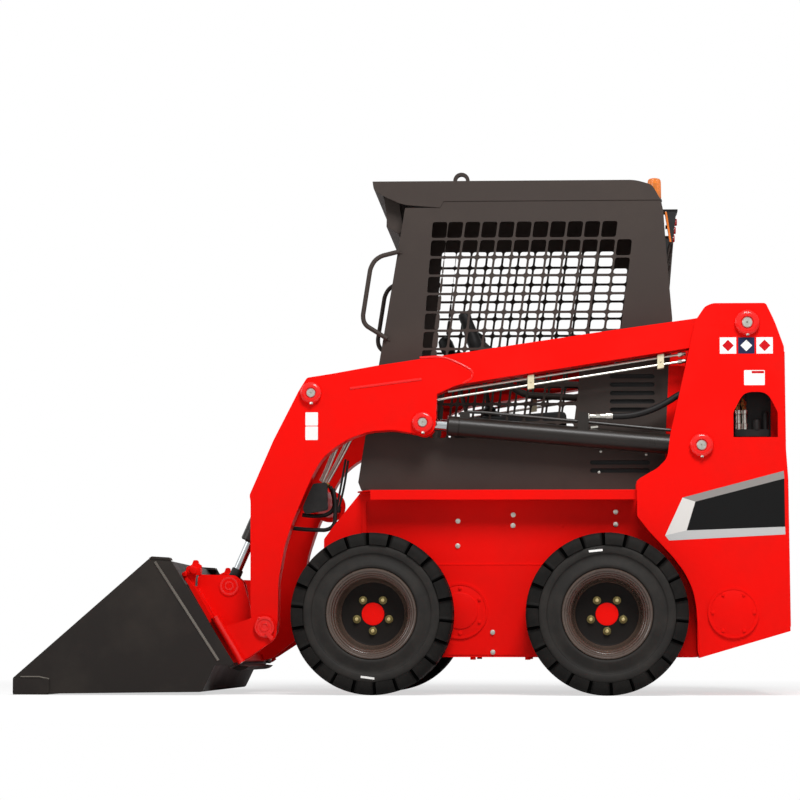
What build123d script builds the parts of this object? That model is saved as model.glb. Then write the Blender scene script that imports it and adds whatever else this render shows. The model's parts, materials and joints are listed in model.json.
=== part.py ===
"""Skid steer loader: a compact wheeled loader with a radial lift arm and a dirt bucket.

Frame: +X forward to the bucket, +Y to the machine's left, +Z up, origin on the ground
under the middle of the whole machine. Millimetres. Each node is written to parts/NODE.step.
"""

import os
from math import cos, pi, radians, sin, tan

from build123d import *

os.makedirs("parts", exist_ok=True)

# ------------------------------------------------------------------ driving dimensions
WHEEL_R = 306.15         # solid tyre, lug tip
TYRE_W = 215
TYRE_IN = 455            # inner face of a tyre
TREAD_FLOOR_R = 277      # bottom of the drafted grooves between the lugs
RIM_SIDES = 16           # flat sides that stand for the round rim and the tyre's bore
AXLE_Z = 306
AXLES = {"front": 114, "rear": -771}

CASE_IN, CASE_OUT = 340, 430      # chain case on each side of the chassis tub
ARM_IN, ARM_OUT = 436, 530        # lift arm box section
TOWER_IN = (416, 428)             # inner tower plate
TOWER_OUT = (548, 560)            # outer tower plate, which is also the rear side panel
CAB_Y = 412                       # outer face of the cab's side panels
CAB_T = 8                         # panel thickness
LEDGE_TOP, LEDGE_BOTTOM = 779, 741
CAB_BOTTOM = 785                  # lower edge of the cab's side panels, on their rails

ARM_PIVOT = (-1303, 1409)
LIFT_BASE = (-1129, 944)
LIFT_EYE = (-72, 1035)
TILT_TOP = (355, 1149)
TILT_EYE = (678, 415)
HITCH_PIVOT = (527, 256)
CROSS_TUBE = (365, 765)

LIFT_Y, TILT_Y = 483, 390         # the cylinders' own planes
LIFT_BARREL_R, LIFT_ROD_R = 38.5, 22.5
TILT_BARREL_R, TILT_ROD_R = 38, 17
FIT = 0.05                        # radial running clearance of a pin in its bore

BUCKET_HALF = 700
HITCH_FOOT = (647, 121)           # lower end of the quick-attach face
HITCH_HEAD = (815, 406)           # upper end


# ------------------------------------------------------------------ helpers
def outline(rows, lift):
    """Closed wire through rows of (a, b) or (a, b, corner radius); a round corner is two chords of its arc."""
    points = []
    for i, (a, b, *radius) in enumerate(rows):
        corner = Vector(a, b)
        if not radius:
            points.append(corner)
            continue
        before, after = [Vector(*rows[k % len(rows)][:2]) for k in (i - 1, i + 1)]
        u, v = (before - corner).normalized(), (after - corner).normalized()
        half = radians(u.get_angle(v)) / 2
        reach, depth = radius[0] / tan(half), radius[0] / sin(half) - radius[0]
        points += [corner + u * reach, corner + (u + v).normalized() * depth, corner + v * reach]
    return Wire.make_polygon([Vector(*lift(point.X, point.Y)) for point in points], close=True)


LIFTS = {
    "Y": lambda at: (lambda a, b: (a, at, b)),     # rows are (x, z)
    "X": lambda at: (lambda a, b: (at, a, b)),     # rows are (y, z)
    "Z": lambda at: (lambda a, b: (a, b, at)),     # rows are (x, y)
}


def slab(rows, low, high, across="Y"):
    """Plate with the outline rows, between two planes across an axis."""
    face = Face(outline(rows, LIFTS[across](low)))
    along = {"X": (high - low, 0, 0), "Y": (0, high - low, 0), "Z": (0, 0, high - low)}[across]
    return Solid.extrude(face, Vector(*along))


def block(x, y, z):
    """Box from three (low, high) pairs."""
    size = (x[1] - x[0], y[1] - y[0], z[1] - z[0])
    centre = ((x[0] + x[1]) / 2, (y[0] + y[1]) / 2, (z[0] + z[1]) / 2)
    return Pos(*centre) * Box(*size)


def regular(a, b, radius, sides=12, turn=0.0):
    """Corners of a regular polygon about (a, b); turn is a share of one side."""
    step = 2 * pi / sides
    return [(a + radius * cos((i + turn) * step), b + radius * sin((i + turn) * step)) for i in range(sides)]


def disc(at, y, radius, sides=12):
    """Round piece along Y at (x, z), between two y values, drawn with flat sides inside its circle."""
    return slab(regular(*at, radius, sides), *y)


def pin(at, y, radius):
    """Truly round bar along Y at (x, z), between two y values: a main pin, or the cutter of a round hole."""
    return Solid.make_cylinder(radius, y[1] - y[0], Plane(origin=(at[0], y[0], at[1]), z_dir=(0, 1, 0)))


def bore(at, y, radius, sides=12):
    """Cutter for a hole along Y: its flat sides clear a pin of this radius by the running fit."""
    return slab(regular(*at, (radius + FIT) / cos(pi / sides), sides, 0.5), *y)


def tube(points, radius, sides=6):
    """Thin bent tube along points in space, drawn with flat sides and mitred bends."""
    path = Polyline(*points)
    start = Plane(origin=path @ 0, z_dir=path % 0)
    return sweep(start * RegularPolygon(radius, sides), path=path, transition=Transition.RIGHT)


def turned(rows, sides):
    """Body about the wheel axis through rows of (y, radius), drawn with flat sides."""
    turn = 2 * pi / sides
    rings = [[Vector(r * cos(i * turn), y, r * sin(i * turn)) for i in range(sides)] for y, r in rows]
    faces = [Face(Wire.make_polygon(ring, close=True)) for ring in (rings[0], rings[-1])]
    for near, far in zip(rings, rings[1:]):
        for i in range(sides):
            corners = [near[i], near[i - 1], far[i - 1], far[i]]
            faces.append(Face(Wire.make_polygon(corners, close=True)))
    return Solid(Shell(faces))


def flip(shape):
    """The same piece on the machine's right side."""
    return shape.mirror(Plane.XZ)


def both(shape):
    return Compound([shape, flip(shape)])


def save(node, shape):
    shape = shape.clean() if hasattr(shape, "clean") else shape
    export_step(shape, f"parts/{node}.step")
    print(f"{node:22s} {shape.volume / 1e6:9.2f} dm3")


# ------------------------------------------------------------------ chassis
def chassis():
    """Tub between two chain cases, with the slanted toe plate in front."""
    case = [(313, 143), (313, 567), (313, 595, 14), (278, 643), (179, 766), (174, 773),
            (-1420, 773), (-1420, 240), (-1120, 143)]
    sides = slab(case, CASE_IN, CASE_OUT)
    floor = [(313, 143), (313, 155), (-1118, 155), (-1420, 252), (-1420, 240), (-1120, 143)]
    toe = [(313, 155), (313, 595, 14), (278, 643), (179, 766), (170, 759), (268, 636),
           (301, 590, 10), (301, 155)]
    tub = sides + flip(sides) + slab(floor, -CASE_IN, CASE_IN) + slab(toe, -CASE_IN, CASE_IN)
    save("chassis_frame", tub)


def ledges():
    """Fender ledge along each side, with its front end cut back and a lip turned down."""
    top = slab([(184, CASE_OUT - 12), (184, CASE_OUT), (128, ARM_OUT), (-885, ARM_OUT), (-885, CASE_OUT - 12)],
               LEDGE_TOP - 6, LEDGE_TOP, "Z")
    lip = block((-885, 128), (ARM_OUT - 6, ARM_OUT), (LEDGE_BOTTOM, LEDGE_TOP - 6))
    save("fender_ledges", both(top + lip))


def axle_housings():
    """Flanged housings that carry the wheel shafts out of the chain cases."""
    flange, sleeve = 12, 65
    rows = [(CASE_OUT, 95), (CASE_OUT + flange, 95)]
    housing = turned(rows, 8) + turned([(CASE_OUT + flange, 62), (CASE_OUT + sleeve, 62)], 8)
    housing = housing - turned([(CASE_OUT - 1, 39), (CASE_OUT + sleeve + 1, 39)], 8)
    placed = [Pos(x, 0, AXLE_Z) * housing for x in AXLES.values()]
    save("axle_housings", Compound(placed + [flip(piece) for piece in placed]))


# Outline of the rear side panel and tower: x, z, corner radius
PANEL = [(-1120, 142), (-1112, 162), (-1109, 322), (-1095, 401, 200), (-1062, 467), (-1018, 525, 200),
         (-931, 619), (-886, 677), (-884, 808), (-896, 820), (-962, 858, 40), (-1000, 895, 50),
         (-1012, 986), (-1045, 1134), (-1090, 1335), (-1109, 1420, 40), (-1144, 1472, 30), (-1173, 1485),
         (-1374, 1485, 12), (-1407, 1416), (-1442, 1318, 30), (-1446, 929), (-1454, 815), (-1460, 243)]
TOWER = [(-884, 779), (-884, 808), (-896, 820), (-962, 858, 40), (-1000, 895, 50), (-1012, 986),
         (-1045, 1134), (-1090, 1335), (-1109, 1420, 40), (-1144, 1472, 30), (-1173, 1485), (-1374, 1485, 12),
         (-1407, 1416), (-1442, 1318, 30), (-1446, 929), (-1452, 779)]
ARCH_WINDOW = [(-1250, 975), (-1250, 1070, 30), (-1290, 1147, 40), (-1378, 1147, 40), (-1417, 1070, 30), (-1417, 975)]


def tower():
    """Left tower: outer and inner plates, the wheel arch, the rear closing strip and two pins."""
    outer = slab(PANEL, *TOWER_OUT) - slab(ARCH_WINDOW, TOWER_OUT[0] - 1, TOWER_OUT[1] + 1)
    inner = slab(TOWER, *TOWER_IN)
    gap = (TOWER_IN[1], TOWER_OUT[0])
    wall = (CASE_OUT, TOWER_OUT[0])
    arch = [(-1120, 142), (-1112, 162), (-1109, 322), (-1095, 401, 200), (-1062, 467), (-1018, 525, 200),
            (-931, 619), (-886, 677), (-886, 741), (-894, 741), (-894, 680), (-938, 624),
            (-1025, 530, 192), (-1069, 470), (-1103, 402, 192), (-1117, 324), (-1120, 162), (-1128, 144)]
    rear = [(-1460, 243), (-1454, 815), (-1446, 929), (-1443, 1310), (-1435, 1310), (-1438, 929),
            (-1446, 815), (-1452, 243)]
    body = outer + inner + slab(arch, *wall) + slab(rear, CASE_OUT, TOWER_OUT[0])
    body = body + pin(ARM_PIVOT, gap, 30) + disc(LIFT_BASE, gap, 25)
    for at, radius in ((ARM_PIVOT, 45), (LIFT_BASE, 38)):
        body = body + disc(at, (TOWER_OUT[1], TOWER_OUT[1] + 8), radius)
    return body


def access_covers():
    """Round bolted covers: one on each rear side panel, one on each chain case."""
    rear = disc((-1246, 312), (TOWER_OUT[1], TOWER_OUT[1] + 8), 93, 16)
    case = disc((-211, 320), (CASE_OUT, CASE_OUT + 8), 104, 16)
    save("access_covers", Compound([rear, flip(rear), case, flip(case)]))


def rear_crossmember():
    """Thick bumper plate low at the back, between the rear side panels."""
    rows = [(-1420, 240), (-1420, 440), (-1446, 440), (-1446, 248)]
    save("rear_crossmember", slab(rows, -CASE_OUT, CASE_OUT))


# ------------------------------------------------------------------ engine bay
DOOR_Z = (452, 1120)
DOOR_X = (-1446, -1422)
DOOR_HALF = 405


def engine():
    save("engine_block", block((-1370, -1060), (-230, 230), (330, 900)))


def rear_door():
    """Swing-out door with a louvred opening; it hangs on its right edge."""
    door = block(DOOR_X, (-DOOR_HALF, DOOR_HALF), DOOR_Z)
    window = block((DOOR_X[0] - 1, DOOR_X[1] + 1), (-300, 300), (560, 1010))
    door = door - window
    louvre_count = 9
    for i in range(louvre_count):
        z = 592 + i * 400 / (louvre_count - 1)
        rows = [(DOOR_X[0] + 2, z), (DOOR_X[0] + 5, z + 3), (DOOR_X[1] - 4, z - 22), (DOOR_X[1] - 7, z - 25)]
        door = door + slab(rows, -300, 300)
    latch = block((DOOR_X[0] - 14, DOOR_X[0]), (340, 380), (760, 830))
    save("rear_door", door + latch)


HOOD_HALF = 402


def engine_hood():
    """Sloped hood over the engine, hinged at the back of the cab."""
    skin = [(-1024, 1256), (-1024, 1262), (-1300, 1230, 60), (-1440, 1150, 40), (-1440, 1126),
            (-1434, 1126), (-1434, 1146, 34), (-1298, 1224, 54)]
    hood = slab(skin, -HOOD_HALF, HOOD_HALF)
    slots = [block((x, x + 14), (-250, 250), (1100, 1300)) for x in range(-1260, -1060, 34)]
    for slot in slots:
        hood = hood - slot
    save("engine_hood", hood)


# ------------------------------------------------------------------ cab
CAB_SIDE = [(-998, CAB_BOTTOM), (174, CAB_BOTTOM), (183, 815), (156, 992), (104, 1272), (4, 1880), (-131, 1880),
            (-146, 1905), (-985, 1905), (-994, 1861), (-1004, 1718), (-1027, 1443), (-998, 979)]
SEAT_BAR_PIVOT, SEAT_BAR_PIN_R = (-700, 1200), 12
GRILLE_WINDOW = [(-31, 985), (-100, 1829), (-873, 1829), (-873, 1255), (-668, 1255), (-668, 985)]
LOUVRES = [(-959, -786, z) for z in (1222, 1190, 1157, 1125, 1093)] + [(-940, -709, z) for z in (890, 859)]


def cab_side():
    """Left side panel: posts and rear sheet in one plate, with the grille opening and louvre slots."""
    panel = slab(CAB_SIDE, CAB_Y - CAB_T, CAB_Y)
    panel = panel - slab(GRILLE_WINDOW, CAB_Y - CAB_T - 1, CAB_Y + 1)
    for x0, x1, z in LOUVRES:
        panel = panel - block((x0, x1), (CAB_Y - CAB_T - 1, CAB_Y + 1), (z - 9, z + 9))
    post = [(174, CAB_BOTTOM), (183, 815), (156, 992), (104, 1272), (4, 1880), (-38, 1880),
            (64, 1266), (116, 986), (140, 815), (140, CAB_BOTTOM)]
    panel = panel + slab(post, CAB_Y - 50, CAB_Y - CAB_T)
    return panel + disc(SEAT_BAR_PIVOT, (250, CAB_Y - CAB_T), SEAT_BAR_PIN_R)


def side_grille():
    """Guard lattice in the side opening: leaning uprights inside, level bars laid on them outside."""
    lean = 0.133
    pitch_x, pitch_z, width = 66.2, 71.3, 8
    y0, y1, y2 = CAB_Y - CAB_T, CAB_Y - CAB_T / 2, CAB_Y
    left, right, low, high = -873, -31, 985, 1829
    frame = slab(GRILLE_WINDOW, y0, y1)
    uprights = []
    for i in range(1, 13):
        x = -95 - i * pitch_x
        rows = [(x, high), (x - width, high), (x - width + lean * (high - low), low), (x + lean * (high - low), low)]
        uprights += (slab(rows, y0, y1) & frame).solids()
    frame = slab(GRILLE_WINDOW, y1, y2)
    levels = []
    for i in range(0, 12):
        z = high - 4 - i * pitch_z
        levels += (block((left, right + 10), (y1, y2), (z - width, z)) & frame).solids()
    return Compound(uprights + levels)


BEACON_AT = (-962, 330)
WELL_FLOOR = 1911                # floor of the recess behind the roof that the beacon stands in


def cab_roof():
    """Roof cap with its turned-down sides, the visor, the header under it and the beacon's recess."""
    half = CAB_Y + 3
    cap = [(131, 1984), (-886, 1984), (-950, 1965, 30), (-985, 1905), (-146, 1905), (-131, 1880), (12, 1892),
           (79, 1922), (117, 1943), (126, 1953)]
    roof = slab(cap, -half, half)
    hollow = [(90, 1976), (-886, 1976), (-940, 1960, 24), (-968, 1906), (-968, 1870), (90, 1870)]
    roof = roof - slab(hollow, -half + 6, half - 6)
    header = [(90, 1976), (90, 1925), (79, 1870), (80, 1816), (33, 1789), (14, 1800), (30, 1905), (30, 1976)]
    roof = roof + slab(header, -half + 60, half - 60)
    well = slab(cap, 279, 381) & block((-990, -922), (279, 381), (1905, 1990))
    return roof + well - block((-1000, -928), (285, 375), (WELL_FLOOR, 2000))


def build_cab():
    side, grille = cab_side(), side_grille()
    save("cab_side_left", side)
    save("cab_side_right", flip(side))
    save("side_grille_left", grille)
    save("side_grille_right", flip(grille))
    save("cab_roof", cab_roof())
    inside = CAB_Y - CAB_T
    rear = [(-985, 1905), (-994, 1861), (-1004, 1718), (-1027, 1443), (-998, 979), (-998, 785),
            (-990, 785), (-990, 979), (-1019, 1443), (-996, 1718), (-986, 1861), (-977, 1905)]
    wall = slab(rear, -inside, inside)
    save("cab_rear_wall", wall - block((-1040, -960), (-300, 300), (1380, 1820)))
    floor = block((-985, 130), (-CASE_IN, CASE_IN), (420, 432))
    rail = block((-990, 150), (CASE_IN + 5, CAB_Y), (773, CAB_BOTTOM))
    save("cab_floor", Compound([floor, rail, flip(rail)]))


def build_interior():
    base = slab([(-880, 432), (-420, 432), (-420, 800), (-880, 860)], -250, 250)
    save("seat_base", base)
    seat = [(-400, 808), (-872, 868), (-918, 1380), (-915, 1432, 30), (-828, 1432, 30), (-792, 985),
            (-400, 936, 30)]
    save("operator_seat", slab(seat, -235, 235))
    for side, name in ((1, "left"), (-1, "right")):
        box_y = (250, 400) if side > 0 else (-400, -250)
        console = slab([(-620, CAB_BOTTOM), (-620, 1090), (-180, 1060, 60), (-160, 940), (-200, CAB_BOTTOM)], *box_y)
        save(f"console_{name}", console + lever_and_grip(side))


def lever_and_grip(side):
    """Control lever: a tall palm grip on the left, a shorter stick with a round knob on the right."""
    if side > 0:
        return tube([(-330, 322, 1040), (-287, 322, 1300)], 12) + tube([(-290, 322, 1290), (-217, 322, 1484)], 25)
    return tube([(-235, -362, 1040), (-138, -362, 1400)], 12) + tube([(-142, -362, 1385), (-108, -362, 1466)], 29)


def lap_bar():
    """Padded bar across the operator, on two arms from the seat back."""
    arm = tube([(-700, 270, 1200), (-420, 270, 1215), (-330, 270, 1330), (-270, 200, 1390)], 14)
    arm = arm + disc(SEAT_BAR_PIVOT, (256, 284), 26)
    arm = arm - bore(SEAT_BAR_PIVOT, (255, 285), SEAT_BAR_PIN_R)
    pad = tube([(-270, 200, 1390), (-240, 90, 1420), (-240, -90, 1420), (-270, -200, 1390)], 30)
    save("lap_bar", arm + flip(arm) + pad)


def cab_details():
    y = CAB_Y + 9.2
    handle = tube([(25, y, 1709), (107, y, 1689), (136, y, 1654), (167, y, 1453), (158, y, 1424), (72, y, 1370)], 9)
    save("grab_handles", both(handle))
    base, dome = [regular(*BEACON_AT, radius) for radius in (30, 27)]
    save("beacon", slab(base, WELL_FLOOR, 1921, "Z") + slab(dome, 1921, 2004, "Z"))
    eye_plate = slab([(-232, 1984), (-232, 2065), (-212, 2087), (-186, 2087), (-166, 2065), (-166, 1984)], -12, 12)
    save("lifting_eye", eye_plate - pin((-199, 2055), (-20, 20), 18))
    lamp = block((-1050, -1006), (290, 390), (1740, 1866)) + block((-1045, -994), (300, 380), (1866, 1880))
    save("rear_lamps", both(lamp))


# ------------------------------------------------------------------ wheels
def wheel_parts():
    """One rim and one tyre, both centred on the left front axle end at x = 0, z = 0."""
    outer, middle = TYRE_IN + TYRE_W, TYRE_IN + TYRE_W / 2
    seat, flange, well, hub = 152, 170.5, 144, 43
    lugs = 22
    rim = turned([(TYRE_IN + 6, seat), (outer - 6, seat)], RIM_SIDES)
    rim = rim + turned([(outer - 12, flange), (outer - 6, flange)], RIM_SIDES)
    dish, back = 562, 547
    rim = rim - turned([(outer, well), (600, well), (dish, 110)], RIM_SIDES)
    rim = rim - turned([(TYRE_IN, well), (back, well)], RIM_SIDES)
    rim = rim + turned([(dish, hub), (595, hub)], RIM_SIDES) + turned([(CASE_OUT + 25, 35), (back, 35)], 12)
    half_pitch = pi / lugs
    halves = []
    for row, (y0, y1) in enumerate(((TYRE_IN + 6, middle), (middle, outer - 6))):
        rows = []
        for i in range(lugs):
            for radius, turn in ((WHEEL_R, -0.78), (WHEEL_R, 0.78), (TREAD_FLOOR_R, 1.0)):
                angle = (2 * i + row + turn) * half_pitch
                rows.append((radius * cos(angle), radius * sin(angle)))
        halves.append(slab(rows, y0, y1))
    tyre = halves[0] + halves[1]
    for face, shoulder in ((TYRE_IN, TYRE_IN + 6), (outer, outer - 6)):
        tyre = tyre + turned(sorted([(face, 215), (shoulder, 262)]), RIM_SIDES)
    tyre = tyre - turned([(TYRE_IN - 1, seat), (outer + 1, seat)], RIM_SIDES)
    tyre = tyre - turned([(outer - 12, flange + 1), (outer + 1, flange + 1)], RIM_SIDES)
    return rim, tyre


def build_wheels():
    rim, tyre = wheel_parts()
    for end, x in AXLES.items():
        place = Pos(x, 0, AXLE_Z)
        for side, turn in (("left", False), ("right", True)):
            for name, shape in (("rim", rim), ("tyre", tyre)):
                piece = place * shape
                save(f"{name}_{end}_{side}", flip(piece) if turn else piece)


# ------------------------------------------------------------------ lift arm
# Side outline of one arm: x, z, corner radius
ARM = [(-1290, 1466), (-1106, 1430, 300), (-766, 1383), (-154, 1293), (96, 1256), (276, 1224), (372, 1209, 12),
       (404, 1157), (500, 968), (591, 758), (586, 738), (584, 302), (573, 256), (573, 210, 45),
       (481, 210, 45), (478, 432), (454, 568), (422, 665), (381, 761), (346, 843), (311, 901), (264, 942),
       (206, 977), (131, 1003), (43, 1009), (-44, 994), (-72, 985, 40), (-118, 990, 40), (-122, 1040),
       (-126, 1146), (-205, 1181), (-1080, 1317), (-1295, 1350, 20), (-1362, 1358, 56), (-1362, 1466, 56)]
EYE_POCKET = [(-150, 900), (-26, 900), (-26, 1046, 30), (-60, 1085, 30), (-150, 1085)]


def lift_arm():
    """Left arm: box section with a pocket for the cylinder's eye, bosses, and the tilt bracket."""
    arm = slab(ARM, ARM_IN, ARM_OUT)
    arm = arm - slab(EYE_POCKET, ARM_IN + 12, ARM_OUT - 12)
    arm = arm - bore(ARM_PIVOT, (ARM_IN - 1, ARM_OUT + 1), 30)
    arm = arm - bore(HITCH_PIVOT, (ARM_IN - 1, ARM_OUT + 1), 22)
    for at, radius in ((LIFT_EYE, 44), (TILT_TOP, 42)):
        arm = arm + disc(at, (ARM_OUT, ARM_OUT + 8), radius)
    inner = (334, 344)
    plate = [(290, 1105), (355, 1105, 44), (400, 1149, 44), (355, 1194, 44), (290, 1194)]
    back = [(290, 1105), (302, 1105), (302, 1194), (290, 1194)]
    arm = arm + slab(plate, *inner) + slab(back, inner[1], ARM_IN)
    arm = arm + disc(TILT_TOP, (inner[1], ARM_IN), 20)
    flange = disc(CROSS_TUBE, (ARM_IN - 12, ARM_IN), 68)
    return arm + flange


def build_arms():
    arm = lift_arm()
    save("arm_left", arm)
    save("arm_right", flip(arm))
    span = ARM_IN - 12
    save("arm_cross_tube", disc(CROSS_TUBE, (-span, span), 50))
    rig = tube([(-185, 500, 1160), (-1078, 500, 1300)], 5) + tube([(-144, 500, 1129), (-1078, 500, 1270)], 5)
    for x in (-484, -978):
        top = [(at, 1181 + (-205 - at) * 136 / 875) for at in (x - 14, x + 14)]     # along the arm's lower edge
        rig = rig + slab([(top[0][0], top[0][1] - 61), (top[1][0], top[1][1] - 61), top[1], top[0]], 478, 520)
    save("arm_pipes", both(rig))


# ------------------------------------------------------------------ cylinders
def cylinder_parts(base, eye, y, barrel_r, rod_r, barrel_length, rod_length, pin_r, eye_half):
    """Barrel and rod of one cylinder from its base pin to its rod eye, both in the plane y."""
    base, eye = Vector(base[0], y, base[1]), Vector(eye[0], y, eye[1])
    way = (eye - base).normalized()
    half = (y - eye_half, y + eye_half)

    def along(origin, start, end, radius, sides=12):
        return tube([origin + way * start, origin + way * end], radius, sides)

    barrel = along(base, 30, barrel_length, barrel_r, 16) + disc((base.X, base.Z), half, barrel_r)
    barrel = barrel - along(base, 70, barrel_length + 1, (rod_r + FIT) / cos(pi / 12))
    barrel = barrel - bore((base.X, base.Z), (half[0] - 1, half[1] + 1), pin_r)
    rod = along(eye, -rod_length, -20, rod_r) + disc((eye.X, eye.Z), half, rod_r + 16)
    return barrel, rod


def build_cylinders():
    barrel, rod = cylinder_parts(LIFT_BASE, LIFT_EYE, LIFT_Y, LIFT_BARREL_R, LIFT_ROD_R, 967, 880, 25, 28)
    save("lift_barrels", both(barrel))
    save("lift_rods", both(rod))
    barrel, rod = cylinder_parts(TILT_TOP, TILT_EYE, TILT_Y, TILT_BARREL_R, TILT_ROD_R, 616, 600, 20, 24)
    save("tilt_barrels", both(barrel))
    save("tilt_rods", both(rod))


# ------------------------------------------------------------------ quick attach and bucket
FACE = Vector(HITCH_HEAD[0] - HITCH_FOOT[0], HITCH_HEAD[1] - HITCH_FOOT[1]).normalized()
OUT = Vector(FACE.Y, -FACE.X)     # square to the face, towards the bucket


def on_face(s, d):
    """(x, z) of a point s up the quick-attach face and d out of it towards the bucket."""
    p = Vector(*HITCH_FOOT) + FACE * s + OUT * d
    return (p.X, p.Y)


def hitch():
    """Quick-attach frame: face plate with windows, ears for the arms and the tilt rods, lock tubes."""
    length = 331
    plate = slab([on_face(0, 0), on_face(length, 0), on_face(length, -16), on_face(0, -16)], -548, 548)
    for y0, y1 in ((-300, 300), (346, 418), (-418, -346)):
        plate = plate - slab([on_face(60, 1), on_face(270, 1), on_face(270, -17), on_face(60, -17)], y0, y1)
    foot, head = on_face(0, -16), on_face(length, -16)
    main = [foot, head, (799, 459, 12), (655, 456, 20), (625, 432, 20), (601, 357), (590, 290),
            (560, 302, 30), (527, 302, 45), (481, 256, 45), (500, 214, 10), (600, 134)]
    inner = [on_face(20, -16), head, (799, 459, 12), (655, 456, 20), (625, 432, 20), (612, 370), (650, 200)]
    outer = [foot, on_face(150, -16), (663, 262), (590, 286), (540, 302, 40), (481, 290, 45), (481, 212, 45),
             (600, 134)]
    ears = slab(main, 418, 430) + slab(inner, 334, 346) + slab(outer, 536, 548)
    side = ears + pin(HITCH_PIVOT, (430, 536), 22) + disc(HITCH_PIVOT, (548, 556), 42) + disc(TILT_EYE, (430, 434), 40)
    lock_a, lock_b = on_face(20, -28), on_face(185, -28)
    side = side + tube([(lock_a[0], 520, lock_a[1]), (lock_b[0], 520, lock_b[1])], 14)
    save("hitch_frame", plate + side + flip(side))


def latch_levers():
    """Lever casting at each top corner of the quick attach, with its chromed lock pin below."""
    lever = slab([on_face(331, -2), on_face(348, -2), (856, 440, 8), (846, 480, 8), (800, 512, 12), (775, 490, 8),
                  on_face(331, -16)], 470, 530)
    return lever


BUCKET_T = 8
# Side profile of the bucket: x, z, corner radius
BUCKET = [(1459, 3), (1459, 64), (1436, 84), (949, 511, 10), (905, 511), (682, 137, 30), (698, 111, 60),
          (745, 12, 12)]


def bucket():
    """Shell of the dirt bucket: floor and back in one bent sheet, two side plates, adapter strips."""
    outer = slab(BUCKET, -BUCKET_HALF, BUCKET_HALF)
    void = [(1500, 11), (1500, 140), (1004, 530), (944, 503), (925, 503), (712, 140, 24), (724, 112, 52),
            (752, 20, 6)]
    shell = outer - slab(void, -BUCKET_HALF + 10, BUCKET_HALF - 10)
    mouth = [(1500, 3), (1500, 600), (960, 530), (949, 511), (1436, 84), (1459, 64), (1461, 3)]
    shell = shell - slab(mouth, -BUCKET_HALF - 1, BUCKET_HALF + 1)
    adapter = slab([on_face(-12, 0), on_face(345, 0), on_face(345, 23.6), on_face(-12, 23.6)], -560, 560)
    adapter = adapter - slab([on_face(40, -1), on_face(300, -1), on_face(300, 24), on_face(40, 24)], -440, 440)
    foot = slab([on_face(-12, 0), on_face(-12, 24), (640, 88), (612, 95), (600, 106)], -440, 440)
    return shell + adapter + foot


def build_bucket():
    hitch()
    save("latch_levers", both(latch_levers()))
    save("bucket", bucket())
    edge = slab([(1459, 3), (1330, 3), (1330, 1), (1459, 1)], -BUCKET_HALF, BUCKET_HALF)
    save("cutting_edge", edge)


chassis()
ledges()
axle_housings()
left_tower = tower()
save("tower_left", left_tower)
save("tower_right", flip(left_tower))
access_covers()
rear_crossmember()
engine()
rear_door()
engine_hood()
build_cab()
build_interior()
lap_bar()
cab_details()
build_wheels()
build_arms()
build_cylinders()
build_bucket()
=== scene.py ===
# %% [markdown]
# # Dressing a skid steer loader
# The machine arrives as a frame: plain solids in metres, +X forward to the bucket, +Y to its
# left, +Z up, grouped in bodies that move at the joints. This script gives every solid its real
# finish and adds what is too fine for plain solids: tread, nuts, pipes, welds, decals and trim.
# It is read from top to bottom, one step per cell.

# %% Load the frame
import math

import bmesh
import bpy
from bmesh.types import BMEdge, BMFace, BMVert
from mathutils import Matrix, Vector
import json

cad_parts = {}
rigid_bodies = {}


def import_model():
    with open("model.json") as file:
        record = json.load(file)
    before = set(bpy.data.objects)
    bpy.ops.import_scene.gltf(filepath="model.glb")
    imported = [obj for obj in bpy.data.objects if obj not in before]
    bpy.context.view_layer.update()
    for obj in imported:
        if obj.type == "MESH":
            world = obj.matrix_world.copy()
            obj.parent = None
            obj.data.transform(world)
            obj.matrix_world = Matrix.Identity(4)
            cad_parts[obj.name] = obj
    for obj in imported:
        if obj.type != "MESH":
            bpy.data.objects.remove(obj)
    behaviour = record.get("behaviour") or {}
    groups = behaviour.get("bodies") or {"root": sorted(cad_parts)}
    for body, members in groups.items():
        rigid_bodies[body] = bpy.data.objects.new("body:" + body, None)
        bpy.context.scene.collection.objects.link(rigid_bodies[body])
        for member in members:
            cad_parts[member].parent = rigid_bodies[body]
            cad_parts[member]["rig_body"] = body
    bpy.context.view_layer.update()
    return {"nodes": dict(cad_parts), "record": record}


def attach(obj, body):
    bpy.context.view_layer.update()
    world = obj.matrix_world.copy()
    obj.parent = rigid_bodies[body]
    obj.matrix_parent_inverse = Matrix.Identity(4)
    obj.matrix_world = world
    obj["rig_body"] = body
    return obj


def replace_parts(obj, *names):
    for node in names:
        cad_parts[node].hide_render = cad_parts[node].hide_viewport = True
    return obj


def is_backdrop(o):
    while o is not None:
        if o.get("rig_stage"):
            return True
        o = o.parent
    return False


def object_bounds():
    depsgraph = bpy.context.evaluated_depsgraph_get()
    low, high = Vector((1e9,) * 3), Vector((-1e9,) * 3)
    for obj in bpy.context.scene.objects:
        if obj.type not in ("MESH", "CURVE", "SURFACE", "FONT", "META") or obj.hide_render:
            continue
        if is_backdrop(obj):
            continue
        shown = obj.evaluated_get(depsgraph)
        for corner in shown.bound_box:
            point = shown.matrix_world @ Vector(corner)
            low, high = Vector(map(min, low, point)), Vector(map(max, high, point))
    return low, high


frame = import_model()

nodes = frame["nodes"]
MM = 0.001

# %% [markdown]
# ## Helpers for shapes
# New pieces are made as a bmesh, which is Blender's editable mesh in memory. Sizes are easier to
# read in millimetres, so the helpers take millimetres and `finish` scales to metres at the end.
# `finish` also merges doubled points, turns the faces outwards, rounds the shading below an
# angle, and makes the piece ride on the body that carries it.


# %% Finish a bmesh as a piece
CRISP = 35          # degrees between two faces, past which their edge stays crisp or is bevelled
MERGE = 0.01        # millimetres between points that are one point


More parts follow.
